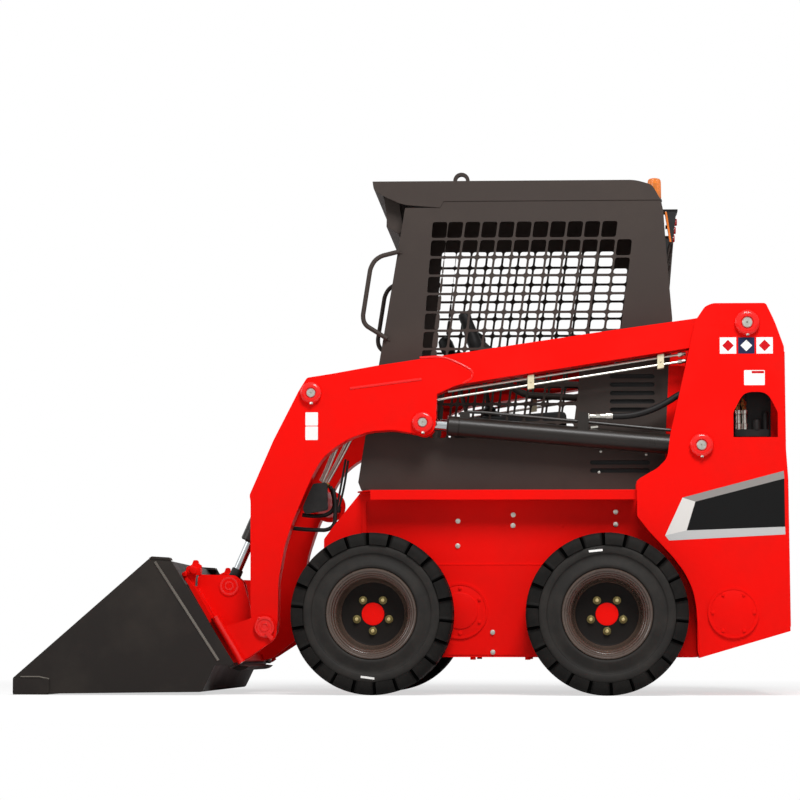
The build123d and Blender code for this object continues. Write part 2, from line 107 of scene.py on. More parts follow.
def as_object(bm, name, material, angle):
    """Object from a bmesh, with smooth shading apart from edges sharper than an angle."""
    mesh = bpy.data.meshes.new(name)
    bm.to_mesh(mesh)
    bm.free()
    for polygon in mesh.polygons:
        polygon.use_smooth = True
    mesh.set_sharp_from_angle(angle=math.radians(angle))
    mesh.materials.append(material)
    piece = bpy.data.objects.new(name, mesh)
    bpy.context.scene.collection.objects.link(piece)
    return piece


def soften_edges(piece, width, segments, angle):
    """Bevel modifier on the edges sharper than an angle; its width is in millimetres."""
    rounding = piece.modifiers.new("edges", "BEVEL")
    rounding.width = width * MM
    rounding.segments = segments
    rounding.limit_method = "ANGLE"
    rounding.angle_limit = math.radians(angle)
    rounding.harden_normals = True


def finish(bm, name, body, material, smooth=CRISP, bevel=0.0, segments=2):
    """Turns a bmesh in millimetres into a named piece of a body."""
    bmesh.ops.remove_doubles(bm, verts=bm.verts, dist=MERGE)
    bmesh.ops.recalc_face_normals(bm, faces=bm.faces)
    bmesh.ops.scale(bm, vec=(MM, MM, MM), verts=bm.verts)
    piece = as_object(bm, name, material, smooth)
    if bevel:
        soften_edges(piece, bevel, segments, CRISP)
    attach(piece, body)
    return piece


print("a piece is merged within", MERGE, "mm and crisp past", CRISP, "degrees")

# %% [markdown]
# Most shapes start the same way: points joined in a row, stood up somewhere, then spun or pulled
# out. An operator answers with points, edges and faces mixed together, so one helper picks out
# the kind that the next operator needs. The machine is the same on both sides, so nearly all of
# it is drawn on the left and mirrored.


# %% Points, rows and mirror
BACK, OUTWARD = (-1, 0, 0), (0, 1, 0)      # outward is to the machine's left, before the mirror
UP, DOWN = (0, 0, 1), (0, 0, -1)


def only(kind, geometry):
    """The points, edges or faces out of an operator's answer."""
    return [g for g in geometry if isinstance(g, kind)]


def edges_of(verts):
    """Every edge that meets one of the points, each of them once."""
    return list(dict.fromkeys(e for v in verts for e in v.link_edges))


def chain(bm, points, closed=False):
    """Points joined by edges in a row, which may close on itself."""
    verts = [bm.verts.new(p) for p in points]
    ends = verts[1:] + verts[:1] if closed else verts[1:]
    return verts + [bm.edges.new(pair) for pair in zip(verts, ends)]


def standing(at, along):
    """Matrix that puts a local origin at a point and turns local +Z along a direction."""
    return Matrix.Translation(Vector(at)) @ Vector(along).to_track_quat("Z", "Y").to_matrix().to_4x4()


def turn_about_y(bm, degrees, cent=(0, 0, 0)):
    """Turns everything in a bmesh about an axis across the machine."""
    bmesh.ops.rotate(bm, matrix=Matrix.Rotation(math.radians(degrees), 3, "Y"), verts=bm.verts, cent=cent)


def round_about(middle, radius, degrees):
    """Point of a circle, in the two directions that the circle lies in."""
    turn = math.radians(degrees)
    return middle[0] + radius * math.cos(turn), middle[1] + radius * math.sin(turn)


def mirrored(bm):
    """Adds the same shapes on the machine's right side."""
    bmesh.ops.mirror(bm, geom=bm.verts[:] + bm.edges[:] + bm.faces[:], axis="Y", merge_dist=-1)


print("left side first, then its mirror image across Y")

# %% [markdown]
# A round piece such as a pin head, cover or washer is a cylinder whose free edge is bevelled,
# because no machined edge is perfectly sharp and the narrow bevel is what catches the light. A
# pin collar or a cylinder rod has a longer profile, so its rows are spun about its axis.


# %% Round and hexagonal shapes
FULL_TURN = 2 * math.pi
ON_PLANE = 1e-3


def puck(bm, at, along, radius, height, edge=1.0, sides=32, top=None):
    """Cylinder or cone from a point along a direction, with its far edge rounded."""
    top = radius if top is None else top
    made = bmesh.ops.create_cone(bm, cap_ends=True, segments=sides, radius1=radius, radius2=top, depth=height,
                                 matrix=standing(at, along) @ Matrix.Translation((0, 0, height / 2)))
    if edge:
        flat = Vector(along).normalized()
        far = Vector(at) + flat * height
        rim = [e for e in edges_of(made["verts"]) if all(abs((v.co - far).dot(flat)) < ON_PLANE for v in e.verts)]
        bmesh.ops.bevel(bm, geom=rim, offset=edge, affect="EDGES", segments=2, profile=0.5, material=-1)


def ring(bm, at, along, outer, inner, height, sides=40):
    """Flat ring: two circles bridged and given a thickness."""
    loops = []
    for radius in (outer, inner):
        made = bmesh.ops.create_circle(bm, segments=sides, radius=radius, matrix=standing(at, along))
        loops += edges_of(made["verts"])
    faces = bmesh.ops.bridge_loops(bm, edges=loops)["faces"]
    raised = bmesh.ops.extrude_face_region(bm, geom=faces)["geom"]
    bmesh.ops.translate(bm, vec=Vector(along).normalized() * height, verts=only(BMVert, raised))


def bolt(bm, at, along, size):
    """Hexagon head on a washer, named by its thread size in millimetres."""
    way = Vector(along).normalized()
    washer, head, head_height = size * 0.18, size * 0.92, size * 0.62
    puck(bm, at, way, size * 1.05, washer, edge=0.3, sides=20)
    puck(bm, Vector(at) + way * washer, way, head, head_height, edge=size * 0.1, sides=6)


def spun(bm, points, axis, steps, cent=(0, 0, 0), closed=False):
    """Turned shape: a row of points swept all the way round an axis."""
    bmesh.ops.spin(bm, geom=chain(bm, points, closed), cent=cent, axis=axis, angle=FULL_TURN, steps=steps,
                   use_merge=True)


def turned(bm, at, along, rows, steps=48):
    """Solid of revolution from rows of (distance, radius), starting on the axis at a point."""
    place = standing(at, along)
    rows = [(rows[0][0], 0.0), *rows, (rows[-1][0], 0.0)]
    spun(bm, [place @ Vector((r, 0, d)) for d, r in rows], Vector(along).normalized(), steps, cent=Vector(at))
    bmesh.ops.remove_doubles(bm, verts=bm.verts, dist=MERGE)


print("round shapes: puck, ring, bolt, spun, turned")

# %% [markdown]
# A flat plate is drawn as an outline in the plane that it lies in, filled as one face, and
# extruded to its thickness. Most of this machine is plate cut like that and welded together. A
# sheet with holes can't be one face: its outline and its holes are drawn as loops of edges, and
# `triangle_fill` fills what lies between them.


# %% Plates and sheets
def across_axis(across, low, high):
    """How (a, b) rows are placed on the plane at low, and the way from there to the plane at high."""
    place = {"Y": lambda a, b: (a, low, b), "X": lambda a, b: (low, a, b), "Z": lambda a, b: (a, b, low)}[across]
    way = {"Y": (0, high - low, 0), "X": (high - low, 0, 0), "Z": (0, 0, high - low)}[across]
    return place, way


def plate(bm, rows, low, high, across="Y"):
    """Plate with an outline of (a, b) rows, between two planes across an axis."""
    place, way = across_axis(across, low, high)
    face = bm.faces.new([bm.verts.new(place(a, b)) for a, b in rows])
    raised = bmesh.ops.extrude_face_region(bm, geom=[face])["geom"]
    bmesh.ops.translate(bm, vec=way, verts=only(BMVert, raised))


def sheet(bm, outline, holes, low, high, across="Y"):
    """Flat sheet with holes, between two planes across an axis."""
    place, way = across_axis(across, low, high)
    edges = []
    for rows in (outline, *holes):
        edges += only(BMEdge, chain(bm, [place(a, b) for a, b in rows], closed=True))
    filled = bmesh.ops.triangle_fill(bm, use_beauty=True, edges=edges)["geom"]
    raised = bmesh.ops.extrude_face_region(bm, geom=only(BMFace, filled))["geom"]
    bmesh.ops.translate(bm, vec=way, verts=only(BMVert, raised))


def rounded(corners, radius, steps=4):
    """The outline rows with every corner replaced by a small arc."""
    rows = []
    for i, (a, b) in enumerate(corners):
        here = Vector((a, b))
        back = (Vector(corners[i - 1]) - here).normalized() * radius
        on = (Vector(corners[(i + 1) % len(corners)]) - here).normalized() * radius
        for k in range(steps + 1):
            t = k / steps
            rows.append(tuple(here + back * (1 - t) ** 2 + on * t ** 2))
    return rows


def box(a0, a1, b0, b1):
    """Rows of a rectangle between two values each way."""
    return [(a0, b0), (a1, b0), (a1, b1), (a0, b1)]


print("flat shapes: plate, sheet, rounded, box")

# %% [markdown]
# Pipes and welds follow a path. A Bezier curve with two points at each bend keeps the runs
# straight and the bends round, like tube from a bending machine. A weld bead is the same idea
# with a small radius that swells and shrinks, which reads as the ripple of a hand-laid weld.


# %% Pipes and welds
RUN_SHARE = 2.05                        # a bend takes at most 1 / 2.05 of the run on either side
HANDLE_ON_BEND, HANDLE_ON_RUN = 0.56, 0.1
WELD_SWELL = 1.28


def bent_curve(name, points, bend):
    """Curve with straight runs through the points and round bends between them."""
    points = [Vector(p) for p in points]
    stops = [(points[0], None, None)]
    for before, here, after in zip(points, points[1:], points[2:]):
        reach = min(bend, (before - here).length / RUN_SHARE, (after - here).length / RUN_SHARE)
        start = here + (before - here).normalized() * reach
        end = here + (after - here).normalized() * reach
        stops += [(start, start.lerp(before, HANDLE_ON_RUN), start.lerp(here, HANDLE_ON_BEND)),
                  (end, end.lerp(here, HANDLE_ON_BEND), end.lerp(after, HANDLE_ON_RUN))]
    stops.append((points[-1], None, None))
    curve = bpy.data.curves.new(name, "CURVE")
    curve.dimensions = "3D"
    curve.resolution_u = 6
    spline = curve.splines.new("BEZIER")
    spline.bezier_points.add(len(stops) - 1)
    for point, (at, left, right) in zip(spline.bezier_points, stops):
        point.co = at
        point.handle_left_type = point.handle_right_type = "FREE"
        point.handle_left = left or at
        point.handle_right = right or at
    return curve


def pipe(bm, points, radius, bend=25, sides=3):
    """Round tube through the points, added to a bmesh; sides is the curve's bevel resolution."""
    curve = bent_curve("path", points, bend)
    curve.bevel_depth = radius
    curve.bevel_resolution = sides
    curve.use_fill_caps = True
    holder = bpy.data.objects.new("path", curve)
    mesh = bpy.data.meshes.new_from_object(holder)
    bm.from_mesh(mesh)
    bpy.data.objects.remove(holder)
    bpy.data.curves.remove(curve)
    bpy.data.meshes.remove(mesh)


def weld(bm, points, radius=3.0, ripple=5.0):
    """Weld bead along straight runs: a thin tube whose rings swell at every ripple."""
    for start, end in zip(points, points[1:]):
        start, end = Vector(start), Vector(end)
        steps = max(2, round((end - start).length / ripple) * 2)
        made = bmesh.ops.create_circle(bm, segments=6, radius=radius, matrix=standing(start, end - start))
        edges = edges_of(made["verts"])
        for i in range(1, steps + 1):
            out = bmesh.ops.extrude_edge_only(bm, edges=edges)["geom"]
            verts, edges = only(BMVert, out), only(BMEdge, out)
            bmesh.ops.translate(bm, vec=(end - start) / steps, verts=verts)
            grow = WELD_SWELL if i % 2 else 1 / WELD_SWELL
            bmesh.ops.scale(bm, vec=(grow, grow, grow), verts=verts,
                            space=Matrix.Translation(-start.lerp(end, i / steps)))


print("paths: pipe, weld")

# %% [markdown]
# The frame's solids have knife-sharp edges. Where a solid's shape is right, a merged copy of it
# gets a small bevel and stands for it: sheared and burnt plate has softened edges under paint.
# The round corners of a solid's plates are short flats. Bevelling the edges between two flats
# brings each corner closer to a true arc, so those edges are found first, sorted by the length
# of their flats, and bevelled before the sharp edges are.


# %% Softened copies of solids
ACROSS = 0.999                          # how far an edge has to point across the machine
ARC_TURN = (0.1, 0.8)                   # radians between two flats of one arc
FLAT_STEP = 2                           # flats are sorted by length in steps of 2 mm
ARC_SHARE, ARC_LIMIT = 0.45, 22         # how much of a flat its bevel takes at each end, at most in mm


def round_arcs(bm):
    """Turns the flats of a cut plate's round corners into finer ones, so that they read as curves."""
    groups = {}
    for edge in bm.edges:
        way = (edge.verts[0].co - edge.verts[1].co).normalized()
        if abs(way.y) < ACROSS or len(edge.link_faces) != 2:
            continue
        if ARC_TURN[0] < edge.calc_face_angle(0) < ARC_TURN[1]:
            flats = [max((v.co - edge.verts[0].co).cross(way).length for v in face.verts)
                     for face in edge.link_faces]
            groups.setdefault(FLAT_STEP * round(min(flats) / MM / FLAT_STEP), []).append(edge)
    for flat, edges in sorted(groups.items()):
        if flat > FLAT_STEP:
            bmesh.ops.bevel(bm, geom=[e for e in edges if e.is_valid], offset=min(flat * ARC_SHARE, ARC_LIMIT) * MM,
                            affect="EDGES", segments=4, profile=0.5, material=-1, clamp_overlap=False)


def softened(node, width, angle=28):
    """A copy of one solid with its edges rounded by a width in millimetres."""
    source = nodes[node]
    bm = bmesh.new()
    bm.from_mesh(source.data)
    bmesh.ops.remove_doubles(bm, verts=bm.verts, dist=0.02 * MM)
    bmesh.ops.dissolve_limit(bm, angle_limit=math.radians(0.5), verts=bm.verts, edges=bm.edges)
    round_arcs(bm)
    piece = as_object(bm, node + "_steel", source.data.materials[0], angle)
    soften_edges(piece, width, 2, angle)
    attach(piece, source["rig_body"])
    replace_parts(piece, node)
    return piece


print("arcs are refined by up to", ARC_LIMIT, "mm a flat")

# %% [markdown]
# ## Finishes
# Every finish is a small node tree on Object coordinates, so a pattern keeps its real size in
# millimetres. One helper turns a hex colour to Blender's linear values and one adds a node. Most
# surfaces start from a soft cloud of noise that says where they are worn or dusty: the colour
# drifts with it, and so does the roughness, because dull patches tell a used surface from a new
# one. A finer pattern then gives the relief.


# %% Colour and node helpers
def linear(code):
    """sRGB hex such as 'C8102E' to linear red, green, blue and alpha."""
    parts = [int(code[i:i + 2], 16) / 255 for i in (0, 2, 4)]
    return (*[c / 12.92 if c <= 0.04045 else ((c + 0.055) / 1.055) ** 2.4 for c in parts], 1.0)


def add(tree, kind, inputs=None, **settings):
    """One node with its settings; a socket among the inputs is linked, a value is written."""
    node = tree.nodes.new("ShaderNode" + kind)
    for key, value in settings.items():
        setattr(node, key, value)
    for key, value in (inputs or {}).items():
        if isinstance(value, bpy.types.NodeSocket):
            tree.links.new(value, node.inputs[key])
        else:
            node.inputs[key].default_value = value
    return node


def new_finish(name):
    """Empty material with its object coordinates; the caller adds the shader."""
    material = bpy.data.materials.new(name)
    material.use_nodes = True
    tree = material.node_tree
    tree.nodes.clear()
    return material, tree, add(tree, "TexCoord").outputs["Object"]


def close_finish(material, tree, shader):
    """Links the shader to the output and hands the material back."""
    add(tree, "OutputMaterial", {"Surface": shader.outputs[0]})
    return material


def per_mm(size):
    """Noise scale whose features are about this many millimetres across."""
    return 1000.0 / size


print("a pattern 3 mm across has a scale of", round(per_mm(3)))

# %% [markdown]
# ** Paint on steel.** The red is a baked enamel over plate: an even colour, a soft gloss and a
# faint orange peel about 3 mm across, with hand-wide patches where it is a little duller or
# dusty. The charcoal of the cab is a fine-grained powder coat, so its grain is under 1 mm and
# its gloss is low. The bucket has a thin semi-gloss coat, streaked by handling. Enamel mirrors
# white surroundings, which would wash the red out, so the plain faces mirror little, and only
# the collars and pin heads that hands and rags polish have a clear gloss. The disc inside a rim
# mirrors little and is painted darker than the rim's bronze black, as painted shade deep in the rim.


# %% Painted steel
def paint(name, colour, dusty, gloss, peel, bump, coat=0.0, patch=0.08, mirror=0.25):
    """Paint over steel plate: peel in millimetres, gloss as roughness, patch as its variation."""
    material, tree, at = new_finish(name)
    cloud = add(tree, "TexNoise", {"Vector": at, "Scale": per_mm(260), "Detail": 5.0, "Roughness": 0.6})
    drift = add(tree, "MapRange", {"Value": cloud.outputs["Fac"], "From Min": 0.45, "From Max": 0.75})
    tone = add(tree, "Mix", {"Factor": drift.outputs[0], "A": linear(colour), "B": linear(dusty)},
               data_type="RGBA")
    rough = add(tree, "MapRange", {"Value": cloud.outputs["Fac"], "From Min": 0.3, "From Max": 0.7,
                                   "To Min": gloss - patch / 2, "To Max": gloss + patch})
    grain = add(tree, "TexNoise", {"Vector": at, "Scale": per_mm(peel), "Detail": 2.0})
    relief = add(tree, "Bump", {"Height": grain.outputs["Fac"], "Strength": 0.5, "Distance": bump * MM})
    shader = add(tree, "BsdfPrincipled", {"Base Color": tone.outputs["Result"], "Roughness": rough.outputs[0],
                                          "Coat Weight": coat, "Coat Roughness": 0.08,
                                          "Specular IOR Level": mirror, "Normal": relief.outputs[0]})
    return close_finish(material, tree, shader)


RED = paint("red_baked_enamel", "EA0D07", "DE110A", gloss=0.38, peel=3.0, bump=0.12, mirror=0.07)
RED_EDGE = paint("red_baked_enamel_polished", "E60D07", "E2120B", gloss=0.3, peel=3.0, bump=0.05,
                 coat=0.5, mirror=0.12)
RED_HUB = paint("red_baked_enamel_hub", "FF1009", "F4130B", gloss=0.4, peel=3.0, bump=0.1, mirror=0.07)
CHARCOAL = paint("charcoal_powder_coat", "362E2A", "3E3631", gloss=0.6, peel=0.9, bump=0.14, mirror=0.2)
BUCKET_COAT = paint("bucket_semi_gloss_coat", "262220", "322D29", gloss=0.5, peel=2.0, bump=0.12,
                    patch=0.16, mirror=0.12)
CYLINDER_COAT = paint("black_cylinder_enamel", "211D1A", "2B2623", gloss=0.3, peel=2.5, bump=0.08)
ENGINE_COAT = paint("engine_grey_enamel", "2B2D2F", "3A3A38", gloss=0.5, peel=2.5, bump=0.2)
RIM_COAT = paint("rim_bronze_black_enamel", "463830", "52443A", gloss=0.26, peel=2.5, bump=0.06,
                 coat=0.35, mirror=0.4)
# The disc's darker colour is painted shade, for the shade deep inside the rim.
DISC_PAINTED_SHADE = paint("rim_disc_painted_shade", "14100E", "1E1815", gloss=0.55, peel=2.5, bump=0.1, mirror=0.1)
# Pale weld colour: partly the thin coat worn off the crests, partly a painted highlight along the bead.
WELD_COAT_AND_HIGHLIGHT = paint("weld_worn_coat_and_painted_highlight", "6F6962", "4A4540", gloss=0.3, peel=2.0, bump=0.3)
print("painted steel:", RED.name, CHARCOAL.name, BUCKET_COAT.name)

# %% [markdown]
# ** Rubber, vinyl and plastic.** Solid tyre rubber is moulded: near black, matt, with a bloom of
# dust and mould grain. The tread is blacker than the sidewall, because it is wiped by the
# ground. The faces inside its grooves are painted blacker still, as painted shade: little light
# gets into them and none comes back. Seat vinyl has a leather-like grain of small cells about
# 2 mm across. Moulded plastic has a fine even texture and a slightly higher gloss.


# %% Rubber, vinyl and plastic
def moulded(name, colour, worn, gloss, cell, bump, cells="F1", sheen=0.0, mirror=0.2):
    """Moulded polymer: cell in millimetres, from a cell pattern mixed with noise."""
    material, tree, at = new_finish(name)
    cloud = add(tree, "TexNoise", {"Vector": at, "Scale": per_mm(70), "Detail": 6.0, "Roughness": 0.65})
    drift = add(tree, "MapRange", {"Value": cloud.outputs["Fac"], "From Min": 0.42, "From Max": 0.72})
    tone = add(tree, "Mix", {"Factor": drift.outputs[0], "A": linear(colour), "B": linear(worn)},
               data_type="RGBA")
    grain = add(tree, "TexVoronoi", {"Vector": at, "Scale": per_mm(cell)}, feature=cells)
    relief = add(tree, "Bump", {"Height": grain.outputs["Distance"], "Strength": 0.45, "Distance": bump * MM})
    rough = add(tree, "MapRange", {"Value": cloud.outputs["Fac"], "To Min": gloss - 0.06, "To Max": gloss + 0.1})
    shader = add(tree, "BsdfPrincipled", {"Base Color": tone.outputs["Result"], "Roughness": rough.outputs[0],
                                          "Sheen Weight": sheen, "Specular IOR Level": mirror,
                                          "Normal": relief.outputs[0]})
    return close_finish(material, tree, shader)


RUBBER = moulded("black_tyre_rubber", "1D1B19", "292623", gloss=0.6, cell=1.6, bump=0.15)
TREAD = moulded("black_tread_rubber", "151413", "1F1D1B", gloss=0.62, cell=1.6, bump=0.15, mirror=0.08)
# Near-black painted shade for the faces inside the tread's grooves.
GROOVE = moulded("groove_painted_shade_rubber", "040404", "070706", gloss=0.7, cell=1.6, bump=0.15, mirror=0.02)
HOSE = moulded("black_hose_rubber", "151414", "232120", gloss=0.5, cell=1.2, bump=0.1)
VINYL = moulded("black_seat_vinyl", "181716", "242221", gloss=0.48, cell=2.2, bump=0.25, cells="SMOOTH_F1")
PLASTIC = moulded("black_moulded_plastic", "161616", "1F1F1F", gloss=0.45, cell=0.8, bump=0.08)
NYLON = moulded("cream_nylon", "D9CFB0", "C9BE9C", gloss=0.4, cell=1.0, bump=0.05)
FOAM = moulded("black_grip_foam", "1A1A1A", "262525", gloss=0.8, cell=0.9, bump=0.3)
print("polymers:", RUBBER.name, VINYL.name, PLASTIC.name)

# %% [markdown]
# **Bare and plated metal.** Cylinder rods are ground and hard-chromed, so they are bright with a
# tight highlight. Tubes and pins are zinc plated: paler, softer, faintly cloudy. Wheel nuts are
# zinc with a yellow chromate, and their studs a paler one. The cutting edge is bare steel,
# scratched along its travel, so its pattern is drawn out along one axis.


# %% Metals
def metal(name, colour, worn, gloss, grain, stretch=(1, 1, 1), patch=0.1):
    """Metal with a cloudy surface; stretch draws the grain out along an axis."""
    material, tree, at = new_finish(name)
    drawn = add(tree, "Mapping", {"Vector": at, "Scale": stretch})
    cloud = add(tree, "TexNoise", {"Vector": drawn.outputs[0], "Scale": per_mm(grain), "Detail": 6.0,
                                   "Roughness": 0.7})
    drift = add(tree, "MapRange", {"Value": cloud.outputs["Fac"], "From Min": 0.4, "From Max": 0.7})
    tone = add(tree, "Mix", {"Factor": drift.outputs[0], "A": linear(colour), "B": linear(worn)},
               data_type="RGBA")
    rough = add(tree, "MapRange", {"Value": cloud.outputs["Fac"], "To Min": gloss, "To Max": gloss + patch})
    relief = add(tree, "Bump", {"Height": cloud.outputs["Fac"], "Strength": 0.2, "Distance": 0.1 * MM})
    shader = add(tree, "BsdfPrincipled", {"Base Color": tone.outputs["Result"], "Metallic": 1.0,
                                          "Roughness": rough.outputs[0], "Normal": relief.outputs[0]})
    return close_finish(material, tree, shader)


CHROME = metal("hard_chrome", "B4B8BA", "A4A8AB", gloss=0.14, grain=60, patch=0.06)
ZINC = metal("zinc_plate", "C2C0B8", "A5A29A", gloss=0.28, grain=12)
YELLOW_ZINC = metal("olive_chromate_zinc", "756A43", "574C30", gloss=0.3, grain=9)
STUD_ZINC = metal("pale_yellow_zinc", "CDBE8C", "A8935C", gloss=0.25, grain=6)
BRASS = metal("brass", "B99B5C", "9A7E48", gloss=0.25, grain=10)
BARE_STEEL = metal("bare_worn_steel", "6E6963", "54493F", gloss=0.34, grain=30, stretch=(0.12, 1, 1))
SCREEN_WIRE = metal("dark_steel_wire", "3A3836", "2B2928", gloss=0.45, grain=8)
print("metals:", CHROME.name, ZINC.name, YELLOW_ZINC.name)

# %% [markdown]
# **Lenses and printed vinyl.** A beacon lens is amber polycarbonate and a tail lamp's is red, so
# light passes through them. Decals are printed vinyl film: flat, even colour with its own soft
# gloss, and no lettering here, only the stripes and plain panels.


# %% Lenses and film
def lens(name, colour, clear, gloss):
    """Tinted polycarbonate with moulded ribs too fine to model."""
    material, tree, at = new_finish(name)
    ribs = add(tree, "TexWave", {"Vector": at, "Scale": per_mm(40), "Distortion": 0.0}, bands_direction="Z")
    relief = add(tree, "Bump", {"Height": ribs.outputs["Fac"], "Strength": 0.3, "Distance": 0.4 * MM})
    shader = add(tree, "BsdfPrincipled", {"Base Color": linear(colour), "Transmission Weight": clear,
                                          "Roughness": gloss, "IOR": 1.58, "Normal": relief.outputs[0]})
    return close_finish(material, tree, shader)


def film(name, colour, gloss=0.32):
    """Printed vinyl film, with the paint's orange peel showing faintly through."""
    material, tree, at = new_finish(name)
    grain = add(tree, "TexNoise", {"Vector": at, "Scale": per_mm(3.5), "Detail": 1.0})
    relief = add(tree, "Bump", {"Height": grain.outputs["Fac"], "Strength": 0.3, "Distance": 0.06 * MM})
    shade = add(tree, "TexNoise", {"Vector": at, "Scale": per_mm(120), "Detail": 3.0})
    rough = add(tree, "MapRange", {"Value": shade.outputs["Fac"], "To Min": gloss, "To Max": gloss + 0.1})
    shader = add(tree, "BsdfPrincipled", {"Base Color": linear(colour), "Roughness": rough.outputs[0],
                                          "Specular IOR Level": 0.1, "Normal": relief.outputs[0]})
    return close_finish(material, tree, shader)


AMBER = lens("amber_polycarbonate", "FF8A12", clear=0.45, gloss=0.16)
RED_LENS = lens("red_polycarbonate", "C8140E", clear=0.4, gloss=0.14)
WHITE_FILM = film("white_vinyl_film", "ECEBE8")
SILVER_FILM = film("silver_vinyl_film", "B9B9B8", gloss=0.3)
BLACK_FILM = film("black_vinyl_film", "141414", gloss=0.25)
RED_FILM = film("red_vinyl_film", "C4121A")
BLUE_FILM = film("dark_blue_vinyl_film", "232A48")
GREY_FILM = film("grey_vinyl_film", "8C8885")
PALE_FILM = film("pale_silver_vinyl_film", "D6D3CF", gloss=0.28)
print("lenses and films:", AMBER.name, WHITE_FILM.name, BLACK_FILM.name)

# %% [markdown]
# ## Give every solid its finish
# The record names a material slot for each solid, such as red_paint or chrome. A table says
# which finish each slot is, so a solid that no finer piece replaces has its real surface too.


# %% Finish by slot
BY_SLOT = {"red_paint": RED, "charcoal_paint": CHARCOAL, "bucket_paint": BUCKET_COAT, "tyre": RUBBER,
           "rim_paint": RIM_COAT, "seat_vinyl": VINYL, "black_plastic": PLASTIC, "chrome": CHROME, "zinc": ZINC,
           "engine_iron": ENGINE_COAT, "beacon_lens": AMBER, "steel": BARE_STEEL}
for part in frame["record"]["subparts"]:
    surface = nodes[part["node"]].data.materials
    surface.clear()
    surface.append(BY_SLOT[part["material_slot"]])
print("finishes given to", len(nodes), "solids")

# %% [markdown]
# ## Wheels
# The tyres are solid rubber, moulded in one piece: a smooth sidewall with a bead against the
# rim, a raised band, and 22 blocks a side that reach from the band over the shoulder to the
# middle of the tread. A turned profile gives all of that except the grooves, so the section is
# spun round the axle and the grooves are pushed in afterwards, one column of faces in seven. The
# other side's grooves are half a block further round. Every second block has a raised pad.


# %% Tyre section and tread
AXLE_Z = 306.0
AXLE_X = {"front": 114.0, "rear": -771.0}
TYRE_MIDDLE = 562.5
TYRE_HALF_WIDTH = 104.0
BLOCKS, BLOCK_COLUMNS = 22, 7
COLUMNS = BLOCKS * BLOCK_COLUMNS
OUTER_GROOVE, INNER_GROOVE = 0, 3       # which column of a block is the groove on either side
GROOVE_FROM = 258                       # radius at which the grooves start
GROOVE_OVERLAP = 20                     # how far they pass the middle of the tread
GROOVE_DEPTH, GROOVE_SIDE_DEPTH = 28.0, 25.0
GROOVE_SLOPE = (270, 34)                # radius where a groove starts to sink, and how far on it is full
PAD_BAND, PAD_SIDE, PAD_RISE = (261, 303), 90, 4.2
# Half of the section, from the bead to the middle of the tread: radius, distance from the middle
TYRE_HALF = [(153, 94), (171, 94.5), (173.5, 99), (178, 101.5), (185, 101), (198, 96.5), (212, 93.5), (221, 93),
             (224.5, 94.5), (226.5, 98.5), (230, 100.5), (246, 101), (254, 100.5), (257, 99), (259.5, 103.5),
             (276, 104.2), (291, 101.5), (300, 95), (305, 86), (306, 60), (306, 22)]
# The grooves' faces take the near-black painted shade, for the dark deep in the grooves.
GROOVE_SLOT = 2                         # the tyre's third material, after sidewall and tread


def place_in_tyre(face):
    """Block and column that a face is in, its radius, and its distance from the tyre's middle."""
    middle = face.calc_center_median()
    column = int(math.atan2(middle.x, middle.z) / FULL_TURN * COLUMNS + COLUMNS) % COLUMNS
    return *divmod(column, BLOCK_COLUMNS), math.hypot(middle.x, middle.z), middle.y


def sink_grooves(bm, grooves):
    """Pushes the groove faces in, deepest on the tread and at the shoulder, and gives them the painted shade."""
    for face in grooves:
        face.material_index = GROOVE_SLOT
    sunk = bmesh.ops.extrude_face_region(bm, geom=grooves)["geom"]
    for v in only(BMVert, sunk):
        radius = math.hypot(v.co.x, v.co.z)
        share = min(1, max(0, (radius - GROOVE_SLOPE[0]) / GROOVE_SLOPE[1]))
        v.co.x *= 1 - GROOVE_DEPTH * share / radius
        v.co.z *= 1 - GROOVE_DEPTH * share / radius
        v.co.y *= 1 - GROOVE_SIDE_DEPTH / TYRE_HALF_WIDTH * (abs(v.co.y) / TYRE_HALF_WIDTH) ** 3


def tyre_shape(bm):
    """Spun section with its pads pulled out and its grooves pushed in, centred on the axle."""
    rows = TYRE_HALF + [(r, -w) for r, w in reversed(TYRE_HALF)]
    spun(bm, [(0, w, r) for r, w in rows], OUTWARD, COLUMNS, closed=True)
    bmesh.ops.recalc_face_normals(bm, faces=bm.faces)
    pads, grooves = [], []
    for face in bm.faces:
        block, column, radius, w = place_in_tyre(face)
        outer = column == OUTER_GROOVE and w > -GROOVE_OVERLAP
        inner = column == INNER_GROOVE and w < GROOVE_OVERLAP
        if radius > GROOVE_FROM and (outer or inner):
            grooves.append(face)
        elif PAD_BAND[0] < radius < PAD_BAND[1] and w > PAD_SIDE and block % 2:
            pads.append(face)
    raised = bmesh.ops.extrude_face_region(bm, geom=pads)["geom"]
    bmesh.ops.translate(bm, vec=(0, PAD_RISE, 0), verts=only(BMVert, raised))
    sink_grooves(bm, grooves)


print("tread:", BLOCKS, "blocks a side in", COLUMNS, "columns")

# %% [markdown]
# The rim is pressed sheet and rolled flanges: two lips that hold the tyre, a stepped well and a
# flat disc set deep inside, where the hub and five nuts sit. One closed section, spun, gives the
# sheet its real thickness on both faces. The lips and steps are what catch the light.


